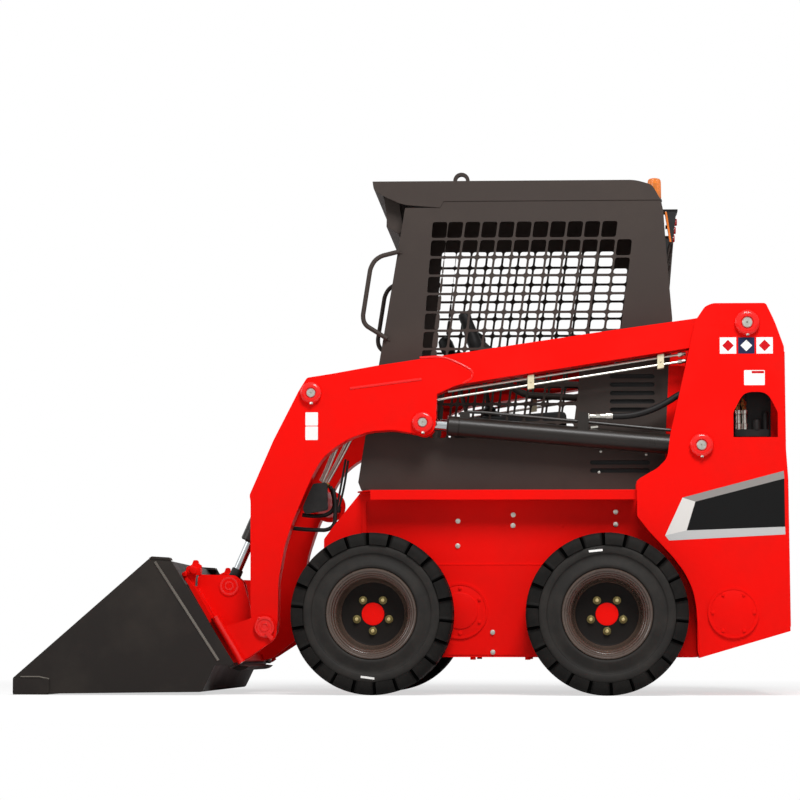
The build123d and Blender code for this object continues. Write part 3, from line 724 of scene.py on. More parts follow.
# %% Rim section, hub and nuts
# From the outer lip over the well to the disc, back along its inner face, and out to the inner lip
RIM_SECTION = [(170.5, 95), (170.5, 98.5), (168, 101.5), (164, 101.5), (160.5, 99), (158, 95.5), (153.5, 94.5),
               (151.5, 90), (149, 82), (145.5, 80), (143.5, 76), (141, 64), (137.5, 61.5), (135.5, 57), (131, 30),
               (126, 12), (120, 1), (114, -2), (44, -2), (44, -9), (110, -9), (121, -7), (133, 8), (139, 30),
               (144, 58), (144, -80), (150, -92), (160, -96), (164, -101.5), (170.5, -101.5), (170.5, -95),
               (152, -93), (152, 93)]
DISC_FACE = -2.0
NUTS, NUT_CIRCLE, NUT_FLANGE = 5, 64.0, 2.5


def rim_shape(bm):
    """Rim in one closed section, spun about the axle."""
    spun(bm, [(0, w, r) for r, w in RIM_SECTION], OUTWARD, 80, closed=True)


def nut_places(out):
    """Five places round the hub, one straight below it, some way out of the disc's face."""
    for i in range(NUTS):
        x, z = round_about((0, 0), NUT_CIRCLE, -90 + 360 / NUTS * i)
        yield x, DISC_FACE + out, z


def nut_shape(bm):
    """Flanged wheel nuts."""
    for foot, head in zip(nut_places(0), nut_places(NUT_FLANGE)):
        puck(bm, foot, OUTWARD, 15.5, NUT_FLANGE, edge=0.6, sides=24)
        puck(bm, head, OUTWARD, 13.2, 10.5, edge=1.6, sides=6)


def stud_shape(bm):
    """The threaded end of each wheel stud, which stands out of its nut."""
    for at in nut_places(11):
        puck(bm, at, OUTWARD, 6.5, 7, edge=0.8, sides=16)


def hub_shape(bm):
    """Drive hub: a painted disc in the middle of the rim with its centre mark, on the flange behind it."""
    puck(bm, (0, DISC_FACE - 4, 0), OUTWARD, 43, 5.5, edge=1.5, sides=48)
    puck(bm, (0, DISC_FACE + 1.5, 0), OUTWARD, 4, 0.8, edge=0.3, sides=16)
    puck(bm, (0, -30, 0), OUTWARD, 88, 21, edge=1.5, sides=48)


def shaft_shape(bm):
    """Axle shaft between the flange and the chain case."""
    puck(bm, (0, -107, 0), OUTWARD, 35, 78, edge=0.0)


def chalk_mark_shape(bm):
    """Short dash of white paint that the fitter left on the sidewall."""
    plate(bm, rounded([(-26, -246), (26, -242), (26, -234), (-26, -238)], 2), 100.8, 101.4)


print("rim section:", len(RIM_SECTION), "points,", NUTS, "nuts")

# %% [markdown]
# A wheel is drawn once, with its axle through the origin, and then set down at four places. The
# right-hand wheels are mirror images, because their treads and discs face the other way. A tyre
# has a sidewall and a tread rubber, and its grooves keep the painted shade that they were given;
# a rim has its bronze black and a disc painted darker as painted shade. Each other face is given
# the finish that belongs to its distance from the axle, which is neater than painting a mask.


# %% Four wheels
TREAD_FROM, DISC_TO = 257.5, 118.0      # radii past which the tread starts and within which the disc is
TYRE_TURN = 1.6                         # degrees that the blocks stand from upright
DASH_TURN = {"front": -3.0, "rear": 190.3}
# Part, its shape, its finish, its slot
WHEEL_PARTS = [("tyre", tyre_shape, RUBBER, "tyre"), ("rim", rim_shape, RIM_COAT, "rim_paint"),
               ("nuts", nut_shape, YELLOW_ZINC, "zinc"), ("studs", stud_shape, STUD_ZINC, "zinc"),
               ("hub", hub_shape, RED_HUB, "red_paint"), ("shaft", shaft_shape, BARE_STEEL, "steel"),
               ("paint_dash", chalk_mark_shape, WHITE_FILM, None)]


def from_axle(face, x):
    """Distance of a mesh face from its axle, in millimetres."""
    return math.hypot(face.center.x / MM - x, face.center.z / MM - AXLE_Z)


for end, x in AXLE_X.items():
    for side, sign in (("left", 1), ("right", -1)):
        for part, shape, material, slot in WHEEL_PARTS:
            bm = bmesh.new()
            shape(bm)
            turn_about_y(bm, {"tyre": TYRE_TURN, "paint_dash": DASH_TURN[end]}.get(part, 0))
            bmesh.ops.translate(bm, vec=(x, TYRE_MIDDLE, AXLE_Z), verts=bm.verts)
            bmesh.ops.scale(bm, vec=(1, sign, 1), verts=bm.verts)
            made = finish(bm, f"{part}_{end}_{side}_detail", f"wheel_{end}_{side}", material)
            # Groove faces keep their painted shade; the rest take sidewall or tread by their radius.
            if part == "tyre":
                made.data.materials.append(TREAD)
                made.data.materials.append(GROOVE)
                for face in made.data.polygons:
                    if face.material_index != GROOVE_SLOT:
                        face.material_index = int(from_axle(face, x) > TREAD_FROM)
            # Faces within the disc's radius take the darker disc paint: painted shade deep inside the rim.
            if part == "rim":
                made.data.materials.append(DISC_PAINTED_SHADE)
                for face in made.data.polygons:
                    face.material_index = int(from_axle(face, x) < DISC_TO)
            if part in ("tyre", "rim"):
                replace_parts(made, f"{part}_{end}_{side}")
print("wheels:", 4 * len(WHEEL_PARTS), "pieces")

# %% [markdown]
# ## Chassis, towers, arms and bucket plate
# These solids have the right shape already, so their softened copies carry the paint. The width
# of the bevel says how a piece was made: about 1 mm on sheared sheet, 2 to 3 mm on flame-cut
# plate, more on a casting. Welds and bolts come on top in the next cells.


# %% Softened plate work
# Solid, width of its edges in millimetres
EDGE = {"chassis_frame": 2.5, "fender_ledges": 1.2, "tower_left": 2.0, "tower_right": 2.0,
        "rear_crossmember": 3.0, "rear_door": 1.5, "engine_hood": 1.0, "cab_roof": 1.8,
        "cab_rear_wall": 1.2, "cab_floor": 1.2, "seat_base": 3.0, "arm_left": 2.2, "arm_right": 2.2,
        "hitch_frame": 1.6, "bucket": 1.4, "engine_block": 12.0}
for name, width in EDGE.items():
    softened(name, width)
print("softened:", len(EDGE), "solids")

# %% [markdown]
# ## Cab
# Each side of the cab is one sheet with its guard cut straight into it: rows of leaning square
# holes with round corners, and slots behind the seat. Boolean cuts would leave messy faces, so
# the holes are drawn as loops of edges inside the outline and the sheet is filled round them.
# The holes follow a grid that leans with the cab's back, and are cut short where they would meet
# the sloping front post or the solid sheet at the back. A post stiffens each front edge, and a
# stub beside the seat carries the lap bar.


# %% Cab sides with guard and slots
SHEET_Y = (404, 412)
CAB_SIDE = [(-998, 785), (168, 785), (174, 791), (183, 815), (156, 992), (104, 1272), (4, 1880), (-131, 1880),
            (-146, 1905), (-985, 1905), (-994, 1861), (-1004, 1718), (-1027, 1443), (-998, 979)]
HOLE_PITCH, HOLE_SIZE, HOLE_CORNER, HOLE_LEAST = (66.2, 71.3), (57.5, 62.5), 10, 22
GUARD_ROWS, GUARD_COLUMNS, GUARD_Z, GUARD_FRONT = 12, 12, (985, 1825), -99
LEAN = 0.133                            # mm forward for each mm down
POST_AT, POST_LEAN = -36, 0.08          # back edge of the front post at the foot of the guard
SEAT_BACK_Z = 1255                      # below this the holes stop further forward, beside the seat
# Rear and front end of a slot, and its height
LOUVRES = [(-950, -795, z) for z in (1222, 1190, 1157, 1125, 1093)] + [(-931, -718, z) for z in (890, 859)]


def slot_hole(rear, front, z, half):
    """Outline of a slot with round ends, each in eight steps."""
    return [round_about((x, z), half, turn + 22.5 * k) for x, turn in ((front, -90), (rear, 90)) for k in range(9)]


def guard_holes():
    """The leaning holes row by row from the top; the first row is one hole shorter at the back."""
    holes = []
    for row in range(GUARD_ROWS):
        top = GUARD_Z[1] - row * HOLE_PITCH[1]
        low = max(top - HOLE_SIZE[1], GUARD_Z[0])
        back = -820 if row == 0 else -873 if low > SEAT_BACK_Z else -668
        for column in range(GUARD_COLUMNS):
            corners = []
            for z, step in ((top, 0), (top, 1), (low, 1), (low, 0)):
                front = GUARD_FRONT - column * HOLE_PITCH[0] + LEAN * (GUARD_Z[1] - z)
                front = min(front, POST_AT - POST_LEAN * (z - GUARD_Z[0]))
                corners.append((max(front - step * HOLE_SIZE[0], back), z))
            if min(corners[0][0] - corners[1][0], corners[3][0] - corners[2][0]) > HOLE_LEAST:
                holes.append(rounded(corners, HOLE_CORNER, steps=3))
    return holes


bm = bmesh.new()
slots = [slot_hole(*louvre, 8.5) for louvre in LOUVRES]
sheet(bm, CAB_SIDE, guard_holes() + slots, *SHEET_Y)
mirrored(bm)
cab_sheet = finish(bm, "cab_side_sheets", "machine", CHARCOAL, bevel=0.7, segments=1)
bm = bmesh.new()
plate(bm, [(172, 785), (183, 815), (156, 992), (104, 1272), (4, 1880), (-38, 1880), (64, 1266), (116, 986),
           (140, 815), (140, 785)], 362, SHEET_Y[0])
puck(bm, (-700, 250, 1200), OUTWARD, 12, 154, edge=1.0, sides=24)
mirrored(bm)
finish(bm, "cab_front_posts", "machine", CHARCOAL, bevel=3.0)
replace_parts(cab_sheet, "cab_side_left", "cab_side_right", "side_grille_left", "side_grille_right")
print("guard holes a side:", len(guard_holes()))

# %% [markdown]
# Small things finish the cab's flanks. A black sheet hangs behind the slots of the engine bay as
# painted shade, for the dark bay behind them, so that light doesn't shine through from the other
# side. A red web stands between the cab and the front edge of each tower. Three small zinc-plated
# bolts hold the lower sheet. All of them are plain plates and hexagon heads, set on the sheet's own planes.


# %% Shade sheets, webs and bolts on the flanks
# Black sheets behind the engine bay's slots: painted shade for the dark inside the bay.
bm = bmesh.new()
plate(bm, box(-972, -690, 838, 1246), 396, 400)
mirrored(bm)
finish(bm, "engine_bay_shade_sheets", "machine", HOSE)
bm = bmesh.new()
plate(bm, [(-1001, 1000), (-1070, 1000), (-1070, 1262), (-1012, 1262)], SHEET_Y[1] + 0.5, 416)
mirrored(bm)
finish(bm, "tower_front_webs", "machine", RED, bevel=0.6)
bm = bmesh.new()
for x, z in ((-751, 933), (-925, 921), (-744, 852)):
    bolt(bm, (x, SHEET_Y[1], z), OUTWARD, 5)
mirrored(bm)
finish(bm, "cab_side_bolts", "machine", ZINC)
print("flanks: liners, webs and bolts")

# %% [markdown]
# The grab handles are bent from one tube and welded to the cab at both ends, so they are one
# pipe with two short beads. The rear window has a guard like the sides, in a frame held by four
# bolts. It is drawn upright about the origin's plane and then leaned with the rear wall.


# %% Handles and rear guard
HANDLE_Y = 421
HANDLE = [(25, 1709), (107, 1689), (136, 1654), (167, 1453), (158, 1424), (72, 1370)]
bm = bmesh.new()
pipe(bm, [(x, HANDLE_Y, z) for x, z in HANDLE], 9, bend=26, sides=4)
weld(bm, [(14, 413, 1704), (38, 413, 1704)], 3, 6)
weld(bm, [(60, 413, 1364), (84, 413, 1370)], 3, 6)
mirrored(bm)
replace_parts(finish(bm, "grab_handle_tubes", "machine", CHARCOAL), "grab_handles")

REAR_LEAN, REAR_SLOPE = -4.8, 0.084     # the rear wall's lean in degrees, and in mm forward for each mm up
REAR_MIDDLE = 1600                      # height about which the guard leans
bm = bmesh.new()
guard = [rounded(box(y, y + 54, z, z + 50), 9, 3)
         for y in [-288 + 64.8 * i for i in range(9)] for z in [1392 + 61 * i for i in range(7)]]
sheet(bm, rounded(box(-312, 312, 1372, 1828), 12), guard, -1, 4, "X")
turn_about_y(bm, REAR_LEAN, cent=(0, 0, REAR_MIDDLE))
bmesh.ops.translate(bm, vec=(-1022, 0, 0), verts=bm.verts)
for y in (-300, 300):
    for z in (1384, 1816):
        bolt(bm, (-1024 + (z - REAR_MIDDLE) * REAR_SLOPE, y, z), BACK, 8)
finish(bm, "rear_window_guard", "machine", CHARCOAL)
print("rear guard holes:", len(guard))

# %% [markdown]
# Lamps stand on brackets at the cab's back corners: a dark housing under a small cap, three red
# lenses to the rear and an amber strip along the outer edge. The housing is a bent plate seen in
# side view, so an outline with a thickness is enough, and each lens is a low puck.


# %% Rear lamps
bm = bmesh.new()
plate(bm, [(-1003, 1868), (-1050, 1868), (-1050, 1863), (-1044, 1856), (-1030, 1742), (-1024, 1740),
           (-1014, 1800)], 300, 388)
plate(bm, [(-990, 1866), (-1050, 1866), (-1050, 1872), (-988, 1872)], 292, 392)
mirrored(bm)
lamp_box = finish(bm, "rear_lamp_housings", "machine", PLASTIC, bevel=2.0)
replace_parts(lamp_box, "rear_lamps")
bm = bmesh.new()
plate(bm, [(-1000, 1862), (-1008, 1862), (-1026, 1744), (-1018, 1744)], 388, 395)
mirrored(bm)
finish(bm, "amber_side_strips", "machine", AMBER, bevel=1.5)
bm = bmesh.new()
for z in (1764, 1796, 1828):
    puck(bm, (-1031 - (z - 1764) * 0.14, 344, z), BACK, 14, 9, edge=3, sides=24)
mirrored(bm)
finish(bm, "rear_lamp_lenses", "machine", RED_LENS)
print("rear lamps made")

# %% [markdown]
# The lifting eye on the roof is thick plate burnt to a round head with a hole for the hook. Its
# outline is drawn point by point round the two circles, because a hook needs a truly round hole.
# The beacon is a ribbed amber cap on a black base: the cap is a spun profile, and every second
# column of its points is drawn in a little to make the ribs that spread the light.


# %% Lifting eye and beacon
EYE_AT, EYE_R, EYE_HOLE_R = (-199, 2054), 33, 18
ARC_STEP = 9                            # degrees
bm = bmesh.new()
head = [round_about(EYE_AT, EYE_R, a) for a in range(0, 181, ARC_STEP)]
hole = [round_about((EYE_AT[0], EYE_AT[1] + 1), EYE_HOLE_R, a) for a in range(0, 360, ARC_STEP)]
sheet(bm, [*head, (-232, 1984), (-166, 1984)], [hole], -12, 12)
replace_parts(finish(bm, "lifting_eye_plate", "machine", CHARCOAL, bevel=1.2), "lifting_eye")

BEACON_AT = (-962, 330)
BEACON_SECTION = [(0, 2003), (14, 2002.5), (21, 2000), (24.5, 1995), (26, 1986), (27, 1926), (24, 1921)]
BEACON_COLUMNS, RIB_TOP, RIB_DRAW = 48, 1997, 0.955
bm = bmesh.new()
spun(bm, [(r, 0, z) for r, z in BEACON_SECTION], UP, BEACON_COLUMNS)
for v in bm.verts:
    if v.co.z < RIB_TOP and round(math.atan2(v.co.y, v.co.x) / FULL_TURN * BEACON_COLUMNS) % 2:
        v.co.x *= RIB_DRAW
        v.co.y *= RIB_DRAW
bmesh.ops.translate(bm, vec=(*BEACON_AT, 0), verts=bm.verts)
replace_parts(finish(bm, "beacon_cap", "machine", AMBER, smooth=20), "beacon")
bm = bmesh.new()
puck(bm, (*BEACON_AT, 1911), UP, 30, 7, edge=1.5, sides=40)
puck(bm, (*BEACON_AT, 1918), UP, 28.5, 4, edge=1.0, sides=40)
puck(bm, (*BEACON_AT, 1922), UP, 8, 60, edge=3, sides=24)
finish(bm, "beacon_base", "machine", PLASTIC)
print("lifting eye and beacon made")

# %% [markdown]
# ## Cylinders and pipes
# A hydraulic cylinder is a painted tube with a welded eye at its base, a screwed gland at its
# mouth and a hard-chromed rod. The solids are plain; here each is turned again as a smooth
# profile with its gland, weld rings and eye, and every piece rides on its own barrel or rod. A
# black collar sits on the lower end of each tilt rod.


# %% Lift and tilt cylinders
# Pins at the two ends (x, z), and the plane that the cylinder lies in
LIFT_BASE, LIFT_EYE, LIFT_Y = (-1129, 944), (-72, 1035), 483
TILT_TOP, TILT_EYE, TILT_Y = (355, 1149), (678, 415), 390


def in_plane(place, y):
    """(x, y, z) of a place given as (x, z)."""
    return Vector((place[0], y, place[1]))


def cylinder_eye(bm, at, y, radius, half, bore):
    """Cylinder eye: a short collar across the pin, drawn as a ring."""
    ring(bm, in_plane(at, y - half), OUTWARD, radius, bore, 2 * half, sides=48)


def cylinder(name, base, tip, y, barrel, rod, length, reach, pin, half):
    """Barrels, wipers, rods and eyes of both cylinders of one kind.

    barrel, rod and pin are radii, length is the barrel's and reach the rod's, from their pins, and
    half is half of an eye's width.
    """
    start, end = in_plane(base, y), in_plane(tip, y)
    way = (end - start).normalized()
    bm = bmesh.new()
    weld_ring = [(24, barrel * 0.72), (38, barrel * 0.98), (44, barrel * 1.03), (50, barrel)]
    gland_groove = [(length - 46, barrel), (length - 45, barrel * 0.97), (length - 43, barrel * 0.97),
                    (length - 42, barrel)]
    mouth = [(length - 5, barrel), (length, barrel * 0.9), (length, rod + 4), (length - 4, rod + 1)]
    turned(bm, start, way, weld_ring + gland_groove + mouth)
    cylinder_eye(bm, base, y, barrel, half, pin + 0.3)
    mirrored(bm)
    body = finish(bm, f"{name}_barrel_tubes", f"{name}_barrel", CYLINDER_COAT)
    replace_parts(body, f"{name}_barrels")
    bm = bmesh.new()
    turned(bm, start, way, [(length - 5, rod + 3.5), (length + 1.5, rod + 3.5), (length + 3, rod + 2)])
    mirrored(bm)
    finish(bm, f"{name}_rod_wipers", f"{name}_barrel", HOSE)
    bm = bmesh.new()
    turned(bm, end, -way, [(20, rod - 2), (34, rod), (reach - 4, rod), (reach, rod - 3)])
    mirrored(bm)
    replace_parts(finish(bm, f"{name}_rod_bars", f"{name}_rod", CHROME), f"{name}_rods")
    bm = bmesh.new()
    cylinder_eye(bm, tip, y, rod + 16, half, pin * 0.9)
    turned(bm, end, -way, [(rod + 8, rod + 2), (rod + 24, rod + 0.8)])
    mirrored(bm)
    finish(bm, f"{name}_rod_eyes", f"{name}_rod", CYLINDER_COAT)


cylinder("lift", LIFT_BASE, LIFT_EYE, LIFT_Y, barrel=38.5, rod=22.5, length=967, reach=880, pin=25, half=28)
cylinder("tilt", TILT_TOP, TILT_EYE, TILT_Y, barrel=38, rod=17, length=616, reach=600, pin=20, half=24)
bm = bmesh.new()
up_rod = (in_plane(TILT_TOP, TILT_Y) - in_plane(TILT_EYE, TILT_Y)).normalized()
turned(bm, in_plane(TILT_EYE, TILT_Y), up_rod, [(30, 20), (34, 22.5), (68, 22.5), (72, 20)])
mirrored(bm)
finish(bm, "tilt_rod_collars", "tilt_rod", HOSE)
print("cylinders turned")

# %% [markdown]
# Two zinc-plated pipes carry oil under each arm, held by cream nylon clamps on red tabs and
# joined by nuts at the tower. They are curves with a round bevel, turned to meshes, because a
# tube that follows a path keeps its section in bends. The clamps follow the slope of the arm's
# lower edge, so their corners are worked out from it.


# %% Pipes on the arm
PIPES_Y = 500
ARM_EDGE_AT, ARM_SLOPE = (-205, 1181), 136 / 875     # a point of the arm's lower edge, and its rise to the rear
CLAMP_HALF = 12.5
UPPER_PIPE = in_plane((-185, 1160), PIPES_Y), in_plane((-1070, 1299), PIPES_Y)
LOWER_PIPE = in_plane((-144, 1129), PIPES_Y), in_plane((-1070, 1271), PIPES_Y)
bm = bmesh.new()
for start, end in (UPPER_PIPE, LOWER_PIPE):
    away = (start - end).normalized()
    pipe(bm, [start + away * 18, start, end], 5, bend=10)
mirrored(bm)
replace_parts(finish(bm, "arm_pipe_tubes", "lift_arm", ZINC), "arm_pipes")
bm = bmesh.new()
for _, end in (UPPER_PIPE, LOWER_PIPE):
    way = (end - UPPER_PIPE[0]).normalized()
    puck(bm, end - way * 26, way, 9.5, 16, edge=1, sides=6)
    puck(bm, end - way * 10, way, 7.5, 14, edge=1, sides=20)
mirrored(bm)
finish(bm, "arm_pipe_nuts", "lift_arm", ZINC)
bm, tabs = bmesh.new(), bmesh.new()
for x in (-484, -978):
    z = ARM_EDGE_AT[1] + (ARM_EDGE_AT[0] - x) * ARM_SLOPE
    tip = CLAMP_HALF * ARM_SLOPE
    clamp = [(x - CLAMP_HALF, z - 59 + tip), (x + CLAMP_HALF, z - 59 - tip),
             (x + CLAMP_HALF, z - 6 - tip), (x - CLAMP_HALF, z - 6 + tip)]
    plate(bm, rounded(clamp, 3), 480, 518)
    puck(bm, (x, 518, z - 32), OUTWARD, 5, 3, edge=0.8, sides=6)
    plate(tabs, box(x - 10, x + 10, z - 6, z + 2), 484, 512)
mirrored(bm)
mirrored(tabs)
finish(bm, "arm_pipe_clamps", "lift_arm", NYLON, bevel=1.2)
finish(tabs, "arm_pipe_tabs", "lift_arm", RED, bevel=0.6)
print("arm pipes made")

# %% [markdown]
# ## Quick attach and bucket
# The attachment face is a leaning plate. Pins join it to the arms and the tilt rods, and two
# sprung levers push lock pins through its foot into the bucket. Distances up the face and out
# of it are easier than x and z, so one small function turns them into x and z. The lock tubes
# are pipes along the face, and weld beads join the ears to it.


# %% Lock tubes on the leaning face
HITCH_FOOT, HITCH_HEAD = Vector((647, 121)), Vector((815, 406))
FACE_WAY = (HITCH_HEAD - HITCH_FOOT).normalized()
FACE_OUT = Vector((FACE_WAY.y, -FACE_WAY.x))
FACE_UP, FACE_DOWN = (FACE_WAY.x, 0, FACE_WAY.y), (-FACE_WAY.x, 0, -FACE_WAY.y)
OUTER_TUBE_Y, INNER_TUBE_Y = 564, 480
OUTER_TUBE_FOOT = (612, OUTER_TUBE_Y, 122)
# Plane of a bead along an ear, and how far up the face it starts and ends
EAR_WELDS = [(549, 130, 20), (431, 320, 20), (417, 320, 20), (347, 300, 30)]


def on_face(up, out):
    """(x, z) of a point some way up the attachment face and out of it towards the bucket."""
    return tuple(HITCH_FOOT + FACE_WAY * up + FACE_OUT * out)


def at_face(up, out, y):
    """(x, y, z) of such a point on a plane across the machine."""
    x, z = on_face(up, out)
    return (x, y, z)


bm = bmesh.new()
pipe(bm, [OUTER_TUBE_FOOT, (716, OUTER_TUBE_Y, 292)], 15.5, bend=5, sides=5)
ring(bm, (714, OUTER_TUBE_Y, 289), FACE_UP, 16.5, 9, 6)
pipe(bm, [at_face(8, -28, INNER_TUBE_Y), at_face(150, -28, INNER_TUBE_Y)], 12, bend=5, sides=4)
for y, start, end in EAR_WELDS:
    weld(bm, [at_face(start, -17, y), at_face(end, -17, y)], 3.4, 6)
weld(bm, [(534, 535.5, 292), (560, 535.5, 292), (592, 535.5, 284)], 2.6, 6)
mirrored(bm)
finish(bm, "lock_tubes", "bucket_carrier", RED_EDGE)
print("lock tubes and", len(EAR_WELDS), "ear welds a side")

# %% [markdown]
# A latch lever is a steel casting at each top corner of the face: a hooked arm, a boss that it
# turns on, and a handle stub. Seen from the side it is one outline with round corners, so plates
# and pucks of different widths, one inside another, give its form. The pins that it drives are
# zinc plated and tapered, and only their tips show under the tubes.


# %% Latch levers and lock pins
bm = bmesh.new()
hook = [on_face(331, 2), on_face(350, 4), (848, 446), (852, 462), (836, 470), (832, 486), (812, 494), (806, 512),
        (790, 512), (786, 498), (774, 490), (782, 470), (796, 462), (800, 440), on_face(331, -16)]
plate(bm, rounded(hook, 4, 2), 488, 512)
plate(bm, rounded([(780, 452), (826, 462), (820, 490), (776, 482)], 6, 3), 474, 532)
puck(bm, (802, 468, 472), OUTWARD, 15, 70, edge=2, sides=24)
puck(bm, (838, 476, 458), OUTWARD, 9, 50, edge=1.5, sides=20)
plate(bm, rounded([on_face(331, -14), on_face(372, -10), on_face(372, 2), on_face(331, 2)], 3, 2), 470, 530)
mirrored(bm)
levers = finish(bm, "latch_castings", "bucket_carrier", RED, bevel=1.6)
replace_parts(levers, "latch_levers")
bm = bmesh.new()
puck(bm, OUTER_TUBE_FOOT, FACE_DOWN, 7, 1.2, edge=0.4, sides=24)
puck(bm, at_face(8, -28, INNER_TUBE_Y), FACE_DOWN, 9.5, 22, edge=3, sides=24, top=7)
mirrored(bm)
finish(bm, "lock_pins", "bucket_carrier", ZINC)
print("latches made")

# %% [markdown]
# The bucket is bent sheet closed by two side plates. The welds along its corners, a wear plate
# on each front tip, and the bolted cutting edge are added here. The welds lie under a thin coat
# and are painted paler than the sheet: partly where the coat has rubbed off their crests, partly
# as a painted highlight along the bead. The cutting edge is bare steel, because earth takes the
# paint off it first.


# %% Bucket welds, wear plates and cutting edge
SIDE_Y = 701.5                          # where a bead stands on the outside of the side plate
BLADE_BOLTS = 7
bm = bmesh.new()
weld(bm, [(926, 700, 500), (684, 700, 130)], 4.6, 7)
weld(bm, [(1430, SIDE_Y, 68), (1360, SIDE_Y, 68), (1322, SIDE_Y, 60)], 2.4, 5)
weld(bm, [(1430, SIDE_Y, 12), (1322, SIDE_Y, 14)], 2.0, 5)
mirrored(bm)
finish(bm, "bucket_welds", "bucket_carrier", WELD_COAT_AND_HIGHLIGHT)
bm = bmesh.new()
plate(bm, rounded([(1459, 5), (1459, 62), (1330, 62), (1322, 56), (1322, 10), (1328, 5)], 3, 2), 700, 705)
plate(bm, [(950, 512), (938, 520), (872, 516), (866, 506)], 640, 704)
plate(bm, [(940, 508), (868, 509), (627, 121), (640, 112), (700, 112), (690, 134)], 690, 700.2)
mirrored(bm)
finish(bm, "bucket_wear_plates", "bucket_carrier", BUCKET_COAT, bevel=1.0)
bm = bmesh.new()
plate(bm, [(1452, 3), (1459, 6.5), (1450, 15), (1327, 15), (1319, 11.2), (1319, 3)], -689, 689)
for i in range(BLADE_BOLTS):
    puck(bm, (1365, -600 + 200 * i, 14.8), UP, 13, 3.5, edge=2.5, sides=20)
finish(bm, "cutting_edge_blade", "bucket_carrier", BARE_STEEL, bevel=0.6)
print("bucket trim made")

# %% [markdown]
# ## Inside the cab
# The seat is two vinyl cushions over foam. Each starts as a block with rounded corners, is
# remeshed to small even faces, and is blown up a little by Blender's cloth simulation, which
# pulls the sides in between the corners and crowns the top as stuffing does. A cap on how far a
# point may move keeps the pad inside its place. Sewn channels are pressed in afterwards, because
# the remesh would erase them.


# %% Padded cushion
VOXEL = 0.009                           # metres
PRESSURE, CLOTH_STEPS, SWELL = 4.0, 14, 9.0
SIDE_ROUND, TOP_ROUND = 54.4, 20.4      # bevels of the block's upright and flat edges
FLAT_SHARE = 0.3                        # the lowest fifth of a pad rests on the shell and stays flat
CHANNEL_DEPTH, CHANNEL_WIDTH, CHANNEL_INSET = 7.0, 7.0, 40
PIPING_DEPTH, PIPING_WIDTH, PIPING_AT = 4.0, 6.0, 42


def freeze(piece):
    """Applies the piece's modifiers, so that its mesh is what they made."""
    graph = bpy.context.evaluated_depsgraph_get()
    mesh = bpy.data.meshes.new_from_object(piece.evaluated_get(graph))
    piece.modifiers.clear()
    piece.data = mesh
    for polygon in mesh.polygons:
        polygon.use_smooth = True


def block(size):
    """Bmesh of a block with its upright edges rounded first and its flat ones after."""
    bm = bmesh.new()
    bmesh.ops.create_cube(bm, size=1.0)
    bmesh.ops.scale(bm, vec=size, verts=bm.verts)
    upright = [e for e in bm.edges if abs(e.verts[0].co.z - e.verts[1].co.z) > 1]
    bmesh.ops.bevel(bm, geom=upright, offset=SIDE_ROUND, affect="EDGES", segments=6, profile=0.5, material=-1)
    flat = [e for e in bm.edges if abs(e.verts[0].co.z - e.verts[1].co.z) < 1 and len(e.link_faces) == 2
            and e.calc_face_angle() > 1]
    bmesh.ops.bevel(bm, geom=flat, offset=TOP_ROUND, affect="EDGES", segments=4, profile=0.5, material=-1)
    return bm


def stuff(pad):
    """Blows the pad up with the cloth simulation."""
    cloth = pad.modifiers.new("stuffing", "CLOTH")
    cloth.settings.use_pressure = True
    cloth.settings.uniform_pressure_force = PRESSURE
    cloth.settings.effector_weights.gravity = 0.0
    for step in range(1, CLOTH_STEPS + 1):
        bpy.context.scene.frame_set(step)
    freeze(pad)
    bpy.context.scene.frame_set(1)


def press_channels(pad, size, channels):
    """Sinks the top along sewn lines across the pad, and along the piping round its edge."""
    for v in pad.data.vertices:
        x, y, z = (c / MM for c in v.co)
        if z > 0:
            if abs(y) < size[1] / 2 - CHANNEL_INSET:
                for line in channels:
                    v.co.z -= CHANNEL_DEPTH * math.exp(-((x - line) / CHANNEL_WIDTH) ** 2) * MM
            edge = min(size[0] / 2 - abs(x), size[1] / 2 - abs(y))
            v.co.z -= PIPING_DEPTH * math.exp(-((edge - PIPING_AT) / PIPING_WIDTH) ** 2) * MM


def cushion(name, middle, size, tilt, channels):
    """Stuffed cushion: middle and size in millimetres, tilt about Y in degrees, channels across it."""
    pad = finish(block(size), name, "machine", VINYL, smooth=180)
    even = pad.modifiers.new("even", "REMESH")
    even.mode = "VOXEL"
    even.voxel_size = VOXEL
    freeze(pad)
    start = [v.co.copy() for v in pad.data.vertices]
    stuff(pad)
    for v, old in zip(pad.data.vertices, start):
        move = v.co - old
        if move.length > SWELL * MM:
            v.co = old + move.normalized() * SWELL * MM
        if old.z < -size[2] * MM * FLAT_SHARE:
            v.co.z = max(v.co.z, -size[2] * MM / 2)
    press_channels(pad, size, channels)
    pad.data.transform(Matrix.Translation(Vector(middle) * MM) @ Matrix.Rotation(math.radians(tilt), 4, "Y"))
    surface = pad.modifiers.new("surface", "SUBSURF")
    surface.levels = surface.render_levels = 1
    return pad


seat_pad = cushion("seat_cushion", (-612, 0, 902), (410, 448, 96), 7.4, (-70, 70))
back_pad = cushion("seat_back_cushion", (-853, 0, 1206), (410, 448, 84), 84.2, (-70, 50))
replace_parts(seat_pad, "operator_seat")
print("cushions:", len(seat_pad.data.vertices) + len(back_pad.data.vertices), "points")

# %% [markdown]
# The lap bar swings up on its two pivots. Its arms are bent tube and the bar that lies across
# the operator is covered with foam. Both are pipes: the foam is simply a wider one round the
# middle of the same bend, so it is told to be soft by name and not by simulation.


